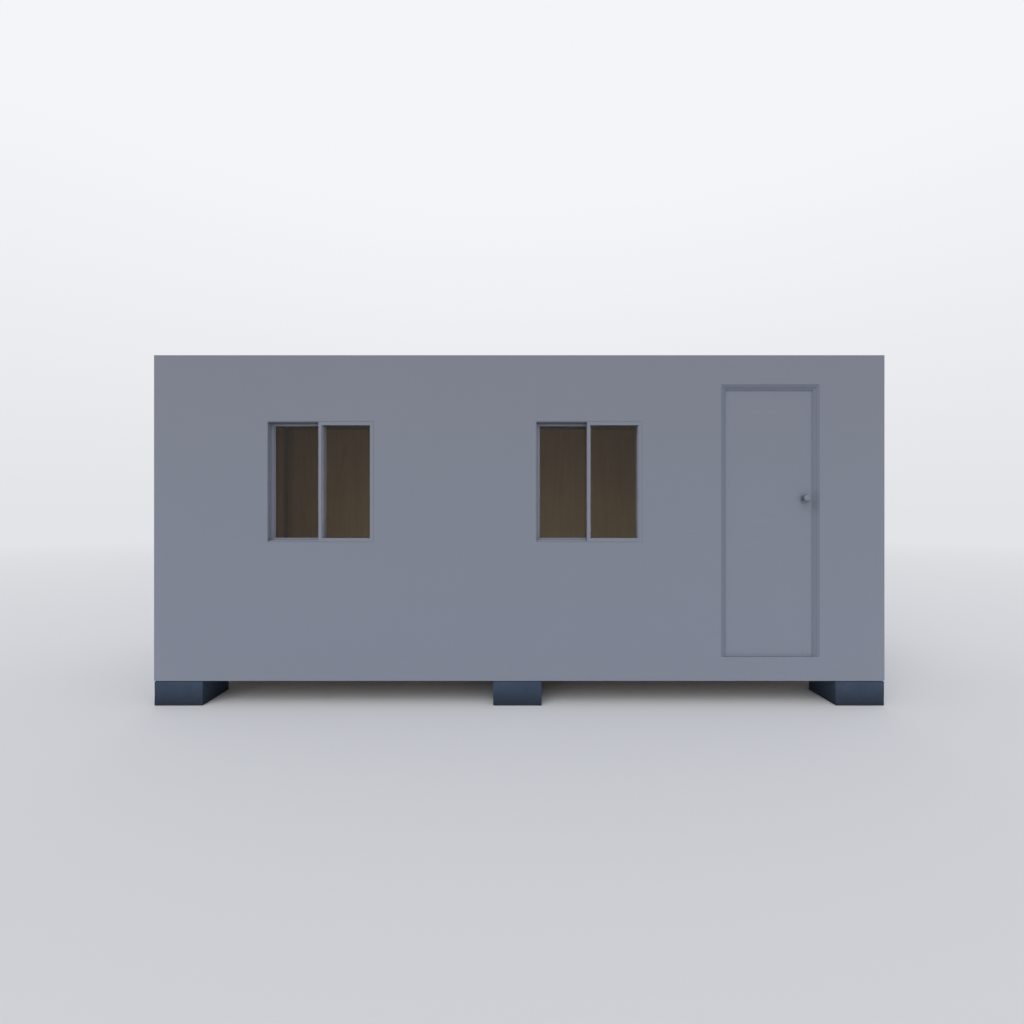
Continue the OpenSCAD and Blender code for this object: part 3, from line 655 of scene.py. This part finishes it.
def moulding(name, corners, section, axes, slot, body="cabin", closed=False):
    """A section carried past corners that lie in one plane, mitred at each.

    A corner is (a, b, da, db). The section's point (u, v) lies there at a + u da and
    b + u db in the plane, and at v along the third axis. The axes give which of x, y and z
    a, b and v are.
    """
    a, b, step_a, step_b = (column[:, None] for column in np.array(corners, float).T)
    u, v = (column[None, :] for column in np.array(section, float).T)
    points = np.empty((len(corners), len(section), 3))
    points[..., axes[0]] = a + u * step_a
    points[..., axes[1]] = b + u * step_b
    points[..., axes[2]] = v + 0.0 * a
    faces = grid_faces(len(corners), len(section), wrap_rows=closed, wrap_columns=True)
    first = range(len(section))
    last = range((len(corners) - 1) * len(section), len(corners) * len(section))
    return mesh_of(name, points, faces, slot, body, () if closed else (first, last))


def frame_corners(low_a, low_b, high_a, high_b):
    """The four corners of a rectangle, each with its two steps inwards."""
    return [(low_a, low_b, 1, 1), (high_a, low_b, -1, 1), (high_a, high_b, -1, -1), (low_a, high_b, 1, -1)]


def straight(low, high):
    """The two ends of a strip that runs straight along the first of its axes."""
    return [(low, 0.0, 0, 1), (high, 0.0, 0, 1)]


# The axes of a moulding, and how far trim is sunk into what it sits on
XZ_BACK_Y = (0, 2, 1)
XY_UP_Z = (0, 1, 2)
ZX_BACK_Y = (2, 0, 1)
YX_UP_Z = (1, 0, 2)
SUNK = 0.0003


def turned_heads(name, spots, facing, profile, lobes, slot, body="cabin", sides=12):
    """Small turned heads, one at each spot, in one mesh.

    The profile's point (r, h, k) makes a ring at height h over the spot along the facing
    axis, with radius r (1 + k cos(lobes t)) at the angle t. A point (r, h) has k = 0. A
    ring of radius 0 is a pole.
    """
    rings = [(*point, 0.0)[:3] for point in profile]
    r, h, k = (column[:, None] for column in np.array(rings, float).T)
    t = np.linspace(0.0, 2.0 * math.pi, sides, endpoint=False)[None, :]
    radius = r * (1.0 + k * np.cos(lobes * t))
    normal = np.array(facing, float)
    across = np.roll(normal, 1)
    up = np.cross(normal, across)
    ring = (radius * np.cos(t))[..., None] * across + (radius * np.sin(t))[..., None] * up
    head = ring + (h + 0.0 * t)[..., None] * normal
    points = np.array(spots, float)[:, None, None, :] + head[None]
    one = grid_faces(len(profile), sides, wrap_columns=True)
    faces = one[None] + (np.arange(len(spots)) * len(profile) * sides)[:, None, None]
    return mesh_of(name, points, faces, slot, body, smooth=True)


# Pads

PAD_ARRIS = 0.006
ARRIS_STEPS = 6
PAD_COLUMNS = 25
PAD_ROWS = 9
PAD_LEAN = 0.0007
WAVE_SIZE = 0.03


def cast_pad(node, seed):
    """A cast block: a rounded square outline carried up a section with rounded arrises.

    The outline has straight sides between quarter circles of the arris's radius. At each
    point of the section it is shrunk by the inset there. The section goes from the middle
    of the underside out to the arris, up the side and back to the middle of the top. Waves
    pull the sides and arrises in by up to twice the lean.
    """
    low, high = box_of(node)
    middle, half = (low + high) / 2.0, (high - low) / 2.0
    corner = half[0] - PAD_ARRIS
    along = np.linspace(-corner, corner, PAD_COLUMNS)
    turn = np.linspace(0.0, math.pi / 2.0, ARRIS_STEPS)
    side = np.stack([along, np.full_like(along, -half[0])], axis=-1)
    arc = np.stack([corner + PAD_ARRIS * np.sin(turn), -corner - PAD_ARRIS * np.cos(turn)], axis=-1)[1:-1]
    quarter = np.concatenate([side, arc])
    turns = [np.array([[c, -s], [s, c]]) for c, s in ((1, 0), (0, 1), (-1, 0), (0, -1))]
    outline = np.concatenate([quarter @ q.T for q in turns])
    rounding = PAD_ARRIS * (1.0 - np.sin(turn))
    lift = PAD_ARRIS * (1.0 - np.cos(turn))
    height = 2.0 * half[2]
    way_out = [half[0], half[0] * 0.5]
    inset = np.concatenate([way_out, rounding, np.zeros(PAD_ROWS), rounding[::-1], way_out[::-1]])
    up_side = np.linspace(PAD_ARRIS, height - PAD_ARRIS, PAD_ROWS + 2)[1:-1]
    rise = np.concatenate([[0.0, 0.0], lift, up_side, height - lift[::-1], [height, height]])
    share = (1.0 - inset / half[0])[:, None]
    flat = outline[None] * share[..., None]
    points = np.concatenate([flat, np.broadcast_to(rise[:, None, None], (*flat.shape[:2], 1))], axis=-1)
    points = points + np.array([middle[0], middle[1], low[2]])
    pull = (PAD_LEAN / half[0]) * (1.0 + waves(points, seed, WAVE_SIZE)) * (share > 0.9)
    points[..., :2] = middle[:2] + (points[..., :2] - middle[:2]) * (1.0 - pull[..., None])
    faces = grid_faces(len(inset), len(outline), wrap_columns=True)
    piece = mesh_of("cast_" + node, points, faces, "pad_concrete", "cabin", smooth=True)
    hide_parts(node)


for number, node in enumerate(sorted(n for n in frame["nodes"] if n.startswith("pad_"))):
    cast_pad(node, number + 11)


# Windows

LINER_T = 0.003
SASH_BAR = 0.026
SASH_T = 0.040
INNER_SASH_BACK = 0.052
GLASS_BACK = 0.028
GLASS_T = 0.004
BEAD_GAP = 0.0021
BEAD_DEPTH = 0.016
BEAD_W = 0.0042
STRIP_LAP = 0.006
TRACK_DEPTH = 0.043
DIVIDER_H = 0.009
INFILL_H = 0.0085
PILE_T = 0.008


def glaze(side, sash, face_y):
    """A wedge gasket round both sides of a pane, against the inner edges of the sash's bars."""
    low, high = box_of(f"{side}_window_{sash}_sash")
    corners = frame_corners(low[0] + SASH_BAR, low[2] + SASH_BAR, high[0] - SASH_BAR, high[2] - SASH_BAR)
    outside = face_y + GLASS_BACK
    inside = outside + GLASS_T
    wedge = [(-SUNK, 0.0), (-SUNK, 0.0020), (0.0004, 0.0020), (0.0009, 0.0017), (0.0016, 0.0006),
             (0.0016, 0.0)]
    for way, face, sign in (("out", outside, -1), ("in", inside, 1)):
        section = [(u, face + sign * v) for u, v in wedge]
        moulding(f"{side}_{sash}_gasket_{way}", corners, section, XZ_BACK_Y, "seal_rubber", closed=True)


def bead_stiles(side, sash, face_y):
    """A pale bead down each stile in front of its pane: a thin wedge whose slope faces out and inwards."""
    low, high = box_of(f"{side}_window_{sash}_sash")
    back = face_y + GLASS_BACK - BEAD_GAP
    front = face_y + GLASS_BACK - BEAD_DEPTH
    wedge = [(-SUNK, back), (-SUNK, front), (0.0008, front), (BEAD_W, back - 0.0008), (BEAD_W, back)]
    ends = straight(low[2] + SASH_BAR - SUNK, high[2] - SASH_BAR + SUNK)
    for edge, stile_x, inwards in (("left", low[0] + SASH_BAR, 1), ("right", high[0] - SASH_BAR, -1)):
        section = [(stile_x + inwards * u, v) for u, v in wedge]
        moulding(f"{side}_{sash}_bead_{edge}", ends, section, ZX_BACK_Y, "pale_seal")


def fill_track(side):
    """What shows of the tracks: a dark infill over the recess that stands in for the shade under the head
    (painted shade), and pile strips at the outer sash.
    """
    frame_low, frame_high = box_of(f"{side}_window_frame")
    sash_low, sash_high = box_of(f"{side}_window_outer_sash")
    head = frame_high[2] - LINER_T
    front = WALL_Y + 0.0015
    back = WALL_Y + TRACK_DEPTH
    low = head - INFILL_H
    divider_z = head - DIVIDER_H + 0.0002
    infill = [(front, head), (front, low + 0.0007), (front + 0.001, low), (back - 0.0012, low),
              (back - 0.0012, divider_z), (back, divider_z), (back, head)]
    ends = straight(frame_low[0] + LINER_T, sash_low[0] - 0.0008)
    # Painted shade: dark rubber where the head is in shade
    moulding(f"{side}_head_shade_infill", ends, infill, XY_UP_Z, "seal_rubber")
    across = straight(sash_low[0], frame_high[0] - LINER_T)
    outline = [(0, 0), (0, 1), (0.25, 1), (0.75, 1), (1, 1), (1, 0), (0.75, 0), (0.25, 0)]
    foot = frame_low[2] + LINER_T
    for end, low_z, high_z in (("top", sash_high[2], head), ("bottom", foot, sash_low[2])):
        pile = [(WALL_Y + 0.0024 + PILE_T * u, low_z + (high_z - low_z) * v) for u, v in outline]
        moulding(f"{side}_pile_{end}", across, pile, XY_UP_Z, "pale_seal")


def seal_meeting(side):
    """Pale strip over the meeting stiles, from the outer pane back along the edge of the inner sash."""
    outer_low, outer_high = box_of(f"{side}_window_outer_sash")
    inner_edge = box_of(f"{side}_window_inner_sash")[1][0]
    stile_edge = outer_low[0] + SASH_BAR
    sash_back = WALL_Y + SASH_T
    front = WALL_Y + GLASS_BACK + GLASS_T + 0.0004
    back = WALL_Y + INNER_SASH_BACK
    far = back + SASH_T
    leg = inner_edge + 0.0008
    strip = [(stile_edge - STRIP_LAP, sash_back), (stile_edge, sash_back), (stile_edge, front),
             (leg - 0.001, front), (leg, front + 0.001), (leg, far), (inner_edge + 0.0001, far),
             (inner_edge + 0.0001, back), (stile_edge - STRIP_LAP, back)]
    ends = straight(outer_low[2] + SASH_BAR + 0.0004, outer_high[2] - SASH_BAR - 0.0004)
    moulding(f"{side}_meeting_strip", ends, strip, ZX_BACK_Y, "pale_seal")


def seal_frame(side):
    """A thin low bead of sealant over the joint between the wall's face and the window frame."""
    low, high = box_of(f"{side}_window_frame")
    bead = [(-0.0008, 0.0003), (-0.0008, -0.0001), (-0.0003, -0.0004), (0.0009, -0.0004), (0.0014, -0.0001),
            (0.0014, 0.0003)]
    section = [(u, WALL_Y + v) for u, v in bead]
    corners = frame_corners(low[0], low[2], high[0], high[2])
    moulding(f"{side}_frame_sealant", corners, section, XZ_BACK_Y, "seal_rubber", closed=True)


for side in ("left", "right"):
    seal_frame(side)
    for fit in (glaze, bead_stiles):
        fit(side, "outer", WALL_Y)
        fit(side, "inner", WALL_Y + INNER_SASH_BACK)
    fill_track(side)
    seal_meeting(side)


# Door

STOP_BACK = 0.024
SEAL_IN = 0.0424
SEAL_HALF_W = 0.0046
SEAL_BOW = 0.0044
SWEEP_T = 0.010
HINGE_PLATE_H = 0.100
HINGE_SCREW_R = 0.0042
LATCH_SCREW_R = 0.0034
TREAD_SCREW_R = 0.0045
TREAD_SCREW_END = 0.09
LEAF_LOW, LEAF_HIGH = box_of("door_leaf")
FRAME_LOW, FRAME_HIGH = box_of("door_frame")


def seal_door():
    """A pale bead on the frame's stop, round its three sides, and a sweep under the leaf.

    The bead is half a rounded bar: flat on the stop and bowed towards the leaf.
    """
    corners = [(FRAME_LOW[0], FRAME_LOW[2], 1, 0), (FRAME_LOW[0], FRAME_HIGH[2], 1, -1),
               (FRAME_HIGH[0], FRAME_HIGH[2], -1, -1), (FRAME_HIGH[0], FRAME_LOW[2], -1, 0)]
    stop_y = WALL_Y + STOP_BACK
    bow = [(SEAL_IN - SEAL_HALF_W * math.cos(a), stop_y + SEAL_BOW * math.sin(a) ** 0.5)
           for a in np.linspace(0.0, math.pi, 9)]
    bead = [(bow[0][0], stop_y - 0.0002)] + bow[1:-1] + [(bow[-1][0], stop_y - 0.0002)]
    moulding("door_seal", corners, bead, XZ_BACK_Y, "pale_seal")
    front, leaf_z, foot_z = LEAF_LOW[1] + 0.001, LEAF_LOW[2] + 0.0005, FLOOR_Z + 0.0008
    sweep = [(front, leaf_z), (front + SWEEP_T, leaf_z), (front + SWEEP_T - 0.0015, foot_z),
             (front + 0.0015, foot_z)]
    ends = straight(LEAF_LOW[0] + 0.002, LEAF_HIGH[0] - 0.012)
    moulding("door_sweep", ends, sweep, XY_UP_Z, "pale_seal", "door")


seal_door()

SCREW = [(0.0, -0.0004), (1.0, -0.0004), (1.0, 0.00015), (0.93, 0.0003), (0.62, 0.00032),
         (0.42, 0.00032, 0.3), (0.30, 0.00005, 0.45), (0.0, 0.00005)]


def screws(name, spots, facing, radius, body):
    """Flat screw heads with a recess of four lobes, sunk into the plate that they hold."""
    profile = [(radius * r, *rest) for r, *rest in SCREW]
    turned_heads(name, spots, facing, profile, 4, "screw_zinc", body, sides=24)


def fix_door_plates():
    """Screws of the hinge plates, the latch plate and its strike."""
    low, high = box_of("leaf_hinge_plates")
    middles = (low[2] + HINGE_PLATE_H / 2.0, (low[2] + high[2]) / 2.0, high[2] - HINGE_PLATE_H / 2.0)
    holes = ((-0.036, -0.010), (-0.014, -0.022), (0.014, -0.010), (0.036, -0.022))
    for part, gap, facing, body in (("leaf", 0.002, -1, "door"), ("frame", 0.003, 1, "cabin")):
        x = LEAF_LOW[0] - gap
        spots = [(x, LEAF_HIGH[1] + run, z + rise) for z in middles for rise, run in holes]
        screws(part + "_hinge_screws", spots, (facing, 0, 0), HINGE_SCREW_R, body)
    for plate, facing, body in (("latch_plate", (1, 0, 0), "door"), ("strike_plate", (-1, 0, 0), "cabin")):
        low, high = box_of(plate)
        middle = (low + high) / 2.0
        face_x = low[0] + 0.002 if body == "door" else low[0]
        spots = [(face_x, middle[1], z) for z in (low[2] + 0.008, high[2] - 0.008)]
        screws(plate + "_screws", spots, facing, LATCH_SCREW_R, body)
    low, high = box_of("door_threshold")
    places = np.linspace(low[0] + TREAD_SCREW_END, high[0] - TREAD_SCREW_END, 5)
    spots = [(x, low[1] + 0.012, high[2]) for x in places]
    screws("threshold_screws", spots, (0, 0, 1), TREAD_SCREW_R, "cabin")


fix_door_plates()


# Knobs

KNOB_R = 0.030
KNOB_OUT = 0.060
RIM_R = 0.017
NECK_R = 0.012
NECK_END = 0.012
FLARE_W = 0.0042
FLARE_H = 0.0142
SPINDLE_R = 0.005
DISH_R = 0.0105
DISH_DEPTH = 0.0012


def turned_knob(node, face_y, facing, tail):
    """A turned knob: spindle, neck, flare, rim and dished front. The spindle ends a tail behind the face.

    The flare widens with the square of the way up. The rim is part of a circle.
    """
    low, high = box_of(node)
    centre = ((low[0] + high[0]) / 2.0, face_y, (low[2] + high[2]) / 2.0)
    way = np.linspace(0.0, 1.0, 9)
    flare = [(NECK_R + FLARE_W * t * t, NECK_END + FLARE_H * t) for t in way]
    turn = np.radians(np.linspace(-78.0, 88.0, 30))
    rim = [(KNOB_R - RIM_R + RIM_R * math.cos(a), KNOB_OUT - RIM_R + RIM_R * math.sin(a)) for a in turn]
    front = KNOB_OUT - DISH_DEPTH
    dish = [(DISH_R + 0.001, KNOB_OUT), (DISH_R + 0.0002, KNOB_OUT - 0.0002), (DISH_R, front + 0.0002),
            (DISH_R - 0.0002, front), (0.004, front), (0.0, front)]
    back = [(0.0, -tail), (SPINDLE_R - 0.0003, -tail), (SPINDLE_R, 0.0003 - tail), (SPINDLE_R, 0.0001),
            (SPINDLE_R + 0.0002, 0.0003), (NECK_R - 0.0003, 0.0003), (NECK_R, 0.0006),
            (NECK_R, NECK_END - 0.0004)]
    profile = back + flare + rim + dish
    knob = turned_heads("turned_" + node, [centre], facing, profile, 0, "knob_metal", "knobs", sides=96)
    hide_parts(node)
    return centre


def fit_knobs():
    """Both knobs, a key slot in the outer one and a push button in the inner one."""
    tail = LEAF_HIGH[1] - LEAF_LOW[1]
    x, y, z = turned_knob("outer_knob", LEAF_LOW[1], (0, -1, 0), tail)
    slot_y = y - KNOB_OUT + DISH_DEPTH
    key = [(-0.0007, -0.0045), (0.0007, -0.0045), (0.0007, 0.0040), (0.0016, 0.0045), (0.0007, 0.0052),
           (-0.0007, 0.0052)]
    section = [(x + u, z + v) for u, v in key]
    ends = straight(slot_y - 0.0002, slot_y + 0.002)
    moulding("key_slot", ends, section, YX_UP_Z, "seal_rubber", "knobs")
    x, y, z = turned_knob("inner_knob", LEAF_HIGH[1], (0, 1, 0), -0.0003)
    button = [(0.0, -0.001), (0.0052, -0.001), (0.0052, 0.0006), (0.0046, 0.0011), (0.002, 0.0012),
              (0.0, 0.0012)]
    spot = (x, y + KNOB_OUT - DISH_DEPTH, z)
    turned_heads("push_button", [spot], (0, 1, 0), button, 0, "knob_metal", "knobs", sides=32)


fit_knobs()


# Room

ROOM_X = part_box("floor_covering")[1].x
ROOM_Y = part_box("end_linings")[1].y
CEILING_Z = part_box("ceiling")[0].z
COVE_R = 0.022
COVE_EDGE = COVE_R + 0.001


def cove():
    """Section of a cove: two flat backs that meet at (0, 0), and a hollow quarter circle between them."""
    turn = np.linspace(0.0, math.pi / 2.0, 8)
    arc = [(COVE_EDGE - COVE_R * math.sin(a), COVE_EDGE - COVE_R * math.cos(a)) for a in turn]
    return [(0.0, 0.0), *arc]


def trim_room():
    """Coves in the corners and under the ceiling, skirting, and a strip round each window."""
    hollow = cove()
    ring = frame_corners(-ROOM_X, -ROOM_Y, ROOM_X, ROOM_Y)
    ceiling = [(u, CEILING_Z - v) for u, v in hollow]
    moulding("ceiling_cove", ring, ceiling, XY_UP_Z, "trim_plastic", closed=True)
    upright = straight(FLOOR_Z + 0.001, CEILING_Z - 0.001)
    for number, (x, y, side_x, side_y) in enumerate(ring):
        section = [(x + side_x * u, y + side_y * v) for u, v in hollow]
        moulding(f"corner_cove_{number}", upright, section, ZX_BACK_Y, "trim_plastic")
    board = [(0.0, 0.0005), (0.011, 0.0005), (0.011, 0.055), (0.0085, 0.0605), (0.004, 0.0625),
             (0.0, 0.0625)]
    skirting = [(u, FLOOR_Z + v) for u, v in board]
    round_room = [(FRAME_LOW[0], -ROOM_Y, 0, 1), ring[0], ring[3], ring[2], ring[1],
                  (FRAME_HIGH[0], -ROOM_Y, 0, 1)]
    moulding("skirting", round_room, skirting, XY_UP_Z, "trim_plastic")
    strip = [(0.0, 0.0), (0.0, 0.0028), (0.0015, 0.0036), (0.021, 0.0036), (0.0225, 0.0022), (0.0225, 0.0)]
    for side in ("left", "right"):
        low, high = box_of(f"{side}_window_frame")
        outwards = [(a, b, -da, -db) for a, b, da, db in frame_corners(low[0], low[2], high[0], high[2])]
        section = [(u, high[1] + v) for u, v in strip]
        moulding(f"{side}_window_strip", outwards, section, XZ_BACK_Y, "trim_plastic", closed=True)


trim_room()


# Roof

RIB_PITCH = 0.200
RIB_N = 29
SCREW_ROWS = np.linspace(-1.0, 1.06, 6)
UPSTAND_T = 0.020
LEG_T = 0.002
RIVET_RISE = 0.014
RIVET_END = 0.13
LONG_RIVETS = 20
END_RIVETS = 8
SPOUT_R = 0.020


def roof_plane():
    """Height of the rib tops at y = 0, and their rise for each metre of y, from the sheet's own mesh."""
    points = points_of(frame["nodes"]["roof_sheet"].data)
    front, rear = points[:, 1].min(), points[:, 1].max()
    near_front = points[points[:, 1] < front + 0.01, 2].max()
    near_rear = points[points[:, 1] > rear - 0.01, 2].max()
    rise = (near_rear - near_front) / (rear - front)
    return near_front - rise * front, rise


def dress_roof():
    """Screws on washers along the ribs, rivets in the capping's legs, spout collars and an apron."""
    middle_z, rise = roof_plane()
    rib_x = (np.arange(RIB_N) - (RIB_N - 1) / 2.0) * RIB_PITCH
    spots = [(x, y, middle_z + rise * y) for y in SCREW_ROWS for x in rib_x]
    screw = [(0.0, -0.0004), (0.0075, -0.0004), (0.0078, 0.001), (0.0068, 0.0022), (0.0048, 0.0024),
             (0.0048, 0.0026, 0.06), (0.0048, 0.0062, 0.06), (0.0042, 0.0070, 0.05), (0.0, 0.0072)]
    turned_heads("roof_screws", spots, (0, 0, 1), screw, 6, "screw_zinc")

    edge_x = -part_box("end_roof_edges")[0].x - UPSTAND_T
    edge_y = -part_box("long_roof_edges")[0].y - UPSTAND_T
    rivet_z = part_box("roof_capping")[0].z + RIVET_RISE
    dome = [(0.0, -0.0004), (0.0045, -0.0004), (0.0045, 0.0003), (0.0032, 0.0013), (0.0, 0.0017)]
    long_x = np.linspace(RIVET_END - edge_x, edge_x - RIVET_END, LONG_RIVETS)
    end_y = np.linspace(RIVET_END - edge_y, edge_y - RIVET_END, END_RIVETS)
    leg_x, leg_y = edge_x - LEG_T, edge_y - LEG_T
    legs = (
        ("front", [(x, -leg_y, rivet_z) for x in long_x], (0, 1, 0)),
        ("rear", [(x, leg_y, rivet_z) for x in long_x], (0, -1, 0)),
        ("left", [(-leg_x, y, rivet_z) for y in end_y], (1, 0, 0)),
        ("right", [(leg_x, y, rivet_z) for y in end_y], (-1, 0, 0)),
    )
    for name, places, facing in legs:
        turned_heads("capping_rivets_" + name, places, facing, dome, 0, "screw_zinc")

    collar = [(0.0201, -0.0005), (0.0275, -0.0005), (0.0272, 0.0010), (0.0245, 0.0038), (0.0215, 0.0062),
              (0.0201, 0.0066), (0.0201, -0.0005)]
    low, high = box_of("rain_spouts")
    wall_y, spout_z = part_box("rear_wall")[1].y, (low[2] + high[2]) / 2.0
    spouts = [(x, wall_y, spout_z) for x in (SPOUT_R - high[0], high[0] - SPOUT_R)]
    turned_heads("spout_collars", spouts, (0, 1, 0), collar, 0, "seal_rubber", sides=40)
    lay_apron(edge_x, edge_y, middle_z, rise)


def lay_apron(edge_x, edge_y, middle_z, rise):
    """A folded apron along three upstands. Its points are lifted by the roof's height at their y."""
    fold = [(0.0, 0.024), (0.0015, 0.024), (0.0015, 0.0030), (0.056, 0.0022), (0.060, -0.0050),
            (0.0585, -0.0056), (0.0548, 0.0008), (0.0, 0.0008)]
    corners = [(-edge_x, edge_y, 1, 0), (-edge_x, -edge_y, 1, 1), (edge_x, -edge_y, -1, 1),
               (edge_x, edge_y, -1, 0)]
    mesh = moulding("roof_apron", corners, fold, XY_UP_Z, "capping_metal").data
    points = points_of(mesh)
    points[:, 2] += middle_z + rise * points[:, 1]
    mesh.vertices.foreach_set("co", points.ravel())


dress_roof()


# Camera, floor and light

CAMERA_BACK = 4.323
CAMERA_X = -0.0596
EYE_HEIGHT = 1.592
LENS_MM = 18.503
SENSOR_MM = 36.0
HORIZON = linear(226, 228, 231)
ZENITH = linear(243, 245, 248)
EVEN_LIGHT = (0.60, 0.61, 0.635)
SUN_STRENGTH = 1.15
SUN_WIDTH = math.radians(60.0)
SUN_TILT = math.radians(57.0)
SUN_TURN = math.radians(-16.0)
ROOM_LAMPS_X = (-2.0, 0.0, 2.0)
ROOM_LAMP_Z = 1.4
ROOM_LAMP_R = 0.35
ROOM_LAMP_WATTS = 1.9
CARD_REACH = 150.0
FADE_START, FADE_END = 7.0, 30.0


def stand_camera():
    """A level camera straight in front of the cabin, at eye height."""
    data = bpy.data.cameras.new("camera")
    data.lens = LENS_MM
    data.sensor_width = SENSOR_MM
    data.clip_end = 400.0
    camera = stand("camera", data)
    camera.location = (CAMERA_X, WALL_Y - CAMERA_BACK, EYE_HEIGHT)
    camera.rotation_euler = (math.pi / 2.0, 0.0, 0.0)
    bpy.context.scene.camera = camera


def seen_rays(tree):
    """1 for the rays that the camera, a reflection or a pane sees, 0 for those that only carry light."""
    path = add(tree, "ShaderNodeLightPath").outputs
    seen = maths(tree, "MAXIMUM", path["Is Camera Ray"], path["Is Glossy Ray"])
    return maths(tree, "MAXIMUM", seen, path["Is Transmission Ray"])


def lay_floor():
    """A plain pale floor that turns into the colour of the horizon far from the cabin."""
    tree, shader = new_material("floor_card", Specular_IOR_Level=0.1)
    shader.inputs["Base Color"].default_value = rgba(linear(234, 235, 237))
    shader.inputs["Roughness"].default_value = 0.9
    away = add(tree, "ShaderNodeVectorMath", {0: place(tree)}, operation="LENGTH").outputs["Value"]
    share = times(tree, spread(tree, away, FADE_START, FADE_END), seen_rays(tree))
    far = add(tree, "ShaderNodeEmission", {"Color": rgba(HORIZON), "Strength": 1.0})
    show_mix(tree, share, shader, far)
    mesh = bpy.data.meshes.new("floor_card")
    corners = [(x * CARD_REACH, y * CARD_REACH, 0) for x, y in ((-1, -1), (1, -1), (1, 1), (-1, 1))]
    mesh.from_pydata(corners, [], [(0, 1, 2, 3)])
    mesh.materials.append(FINISHES["floor_card"])
    stand("floor_card", mesh)


def light_room():
    """Even light from all round, a backdrop that pales upwards, a soft sun and three lamps in the room.

    The sun stands high at the front left. No reflection and no pane shows it or the lamps.
    """
    world = bpy.data.worlds.new("studio")
    bpy.context.scene.world = world
    world.use_nodes = True
    tree = world.node_tree
    up = parts_of(tree, add(tree, "ShaderNodeTexCoord").outputs["Generated"])["Z"]
    backdrop = blend_colour(tree, spread(tree, up, 0.0, 0.5), HORIZON, ZENITH)
    shade = blend_colour(tree, seen_rays(tree), EVEN_LIGHT, backdrop)
    tree.links.new(shade, tree.nodes["Background"].inputs["Color"])
    tree.nodes["Background"].inputs["Strength"].default_value = 1.0
    sun = bpy.data.lights.new("key", "SUN")
    sun.energy = SUN_STRENGTH
    sun.angle = SUN_WIDTH
    key = stand("key", sun)
    key.rotation_euler = (SUN_TILT, 0.0, SUN_TURN)
    lamps = [key]
    for x in ROOM_LAMPS_X:
        glow = bpy.data.lights.new("room_lamp", "POINT")
        glow.energy = ROOM_LAMP_WATTS
        glow.shadow_soft_size = ROOM_LAMP_R
        lamp = stand("room_lamp", glow)
        lamp.location = (x, 0.0, ROOM_LAMP_Z)
        lamp.visible_camera = False
        lamps.append(lamp)
    for lamp in lamps:
        lamp.visible_glossy = False
        lamp.visible_transmission = False


stand_camera()
lay_floor()
light_room()
bpy.context.scene.view_settings.view_transform = "Standard"
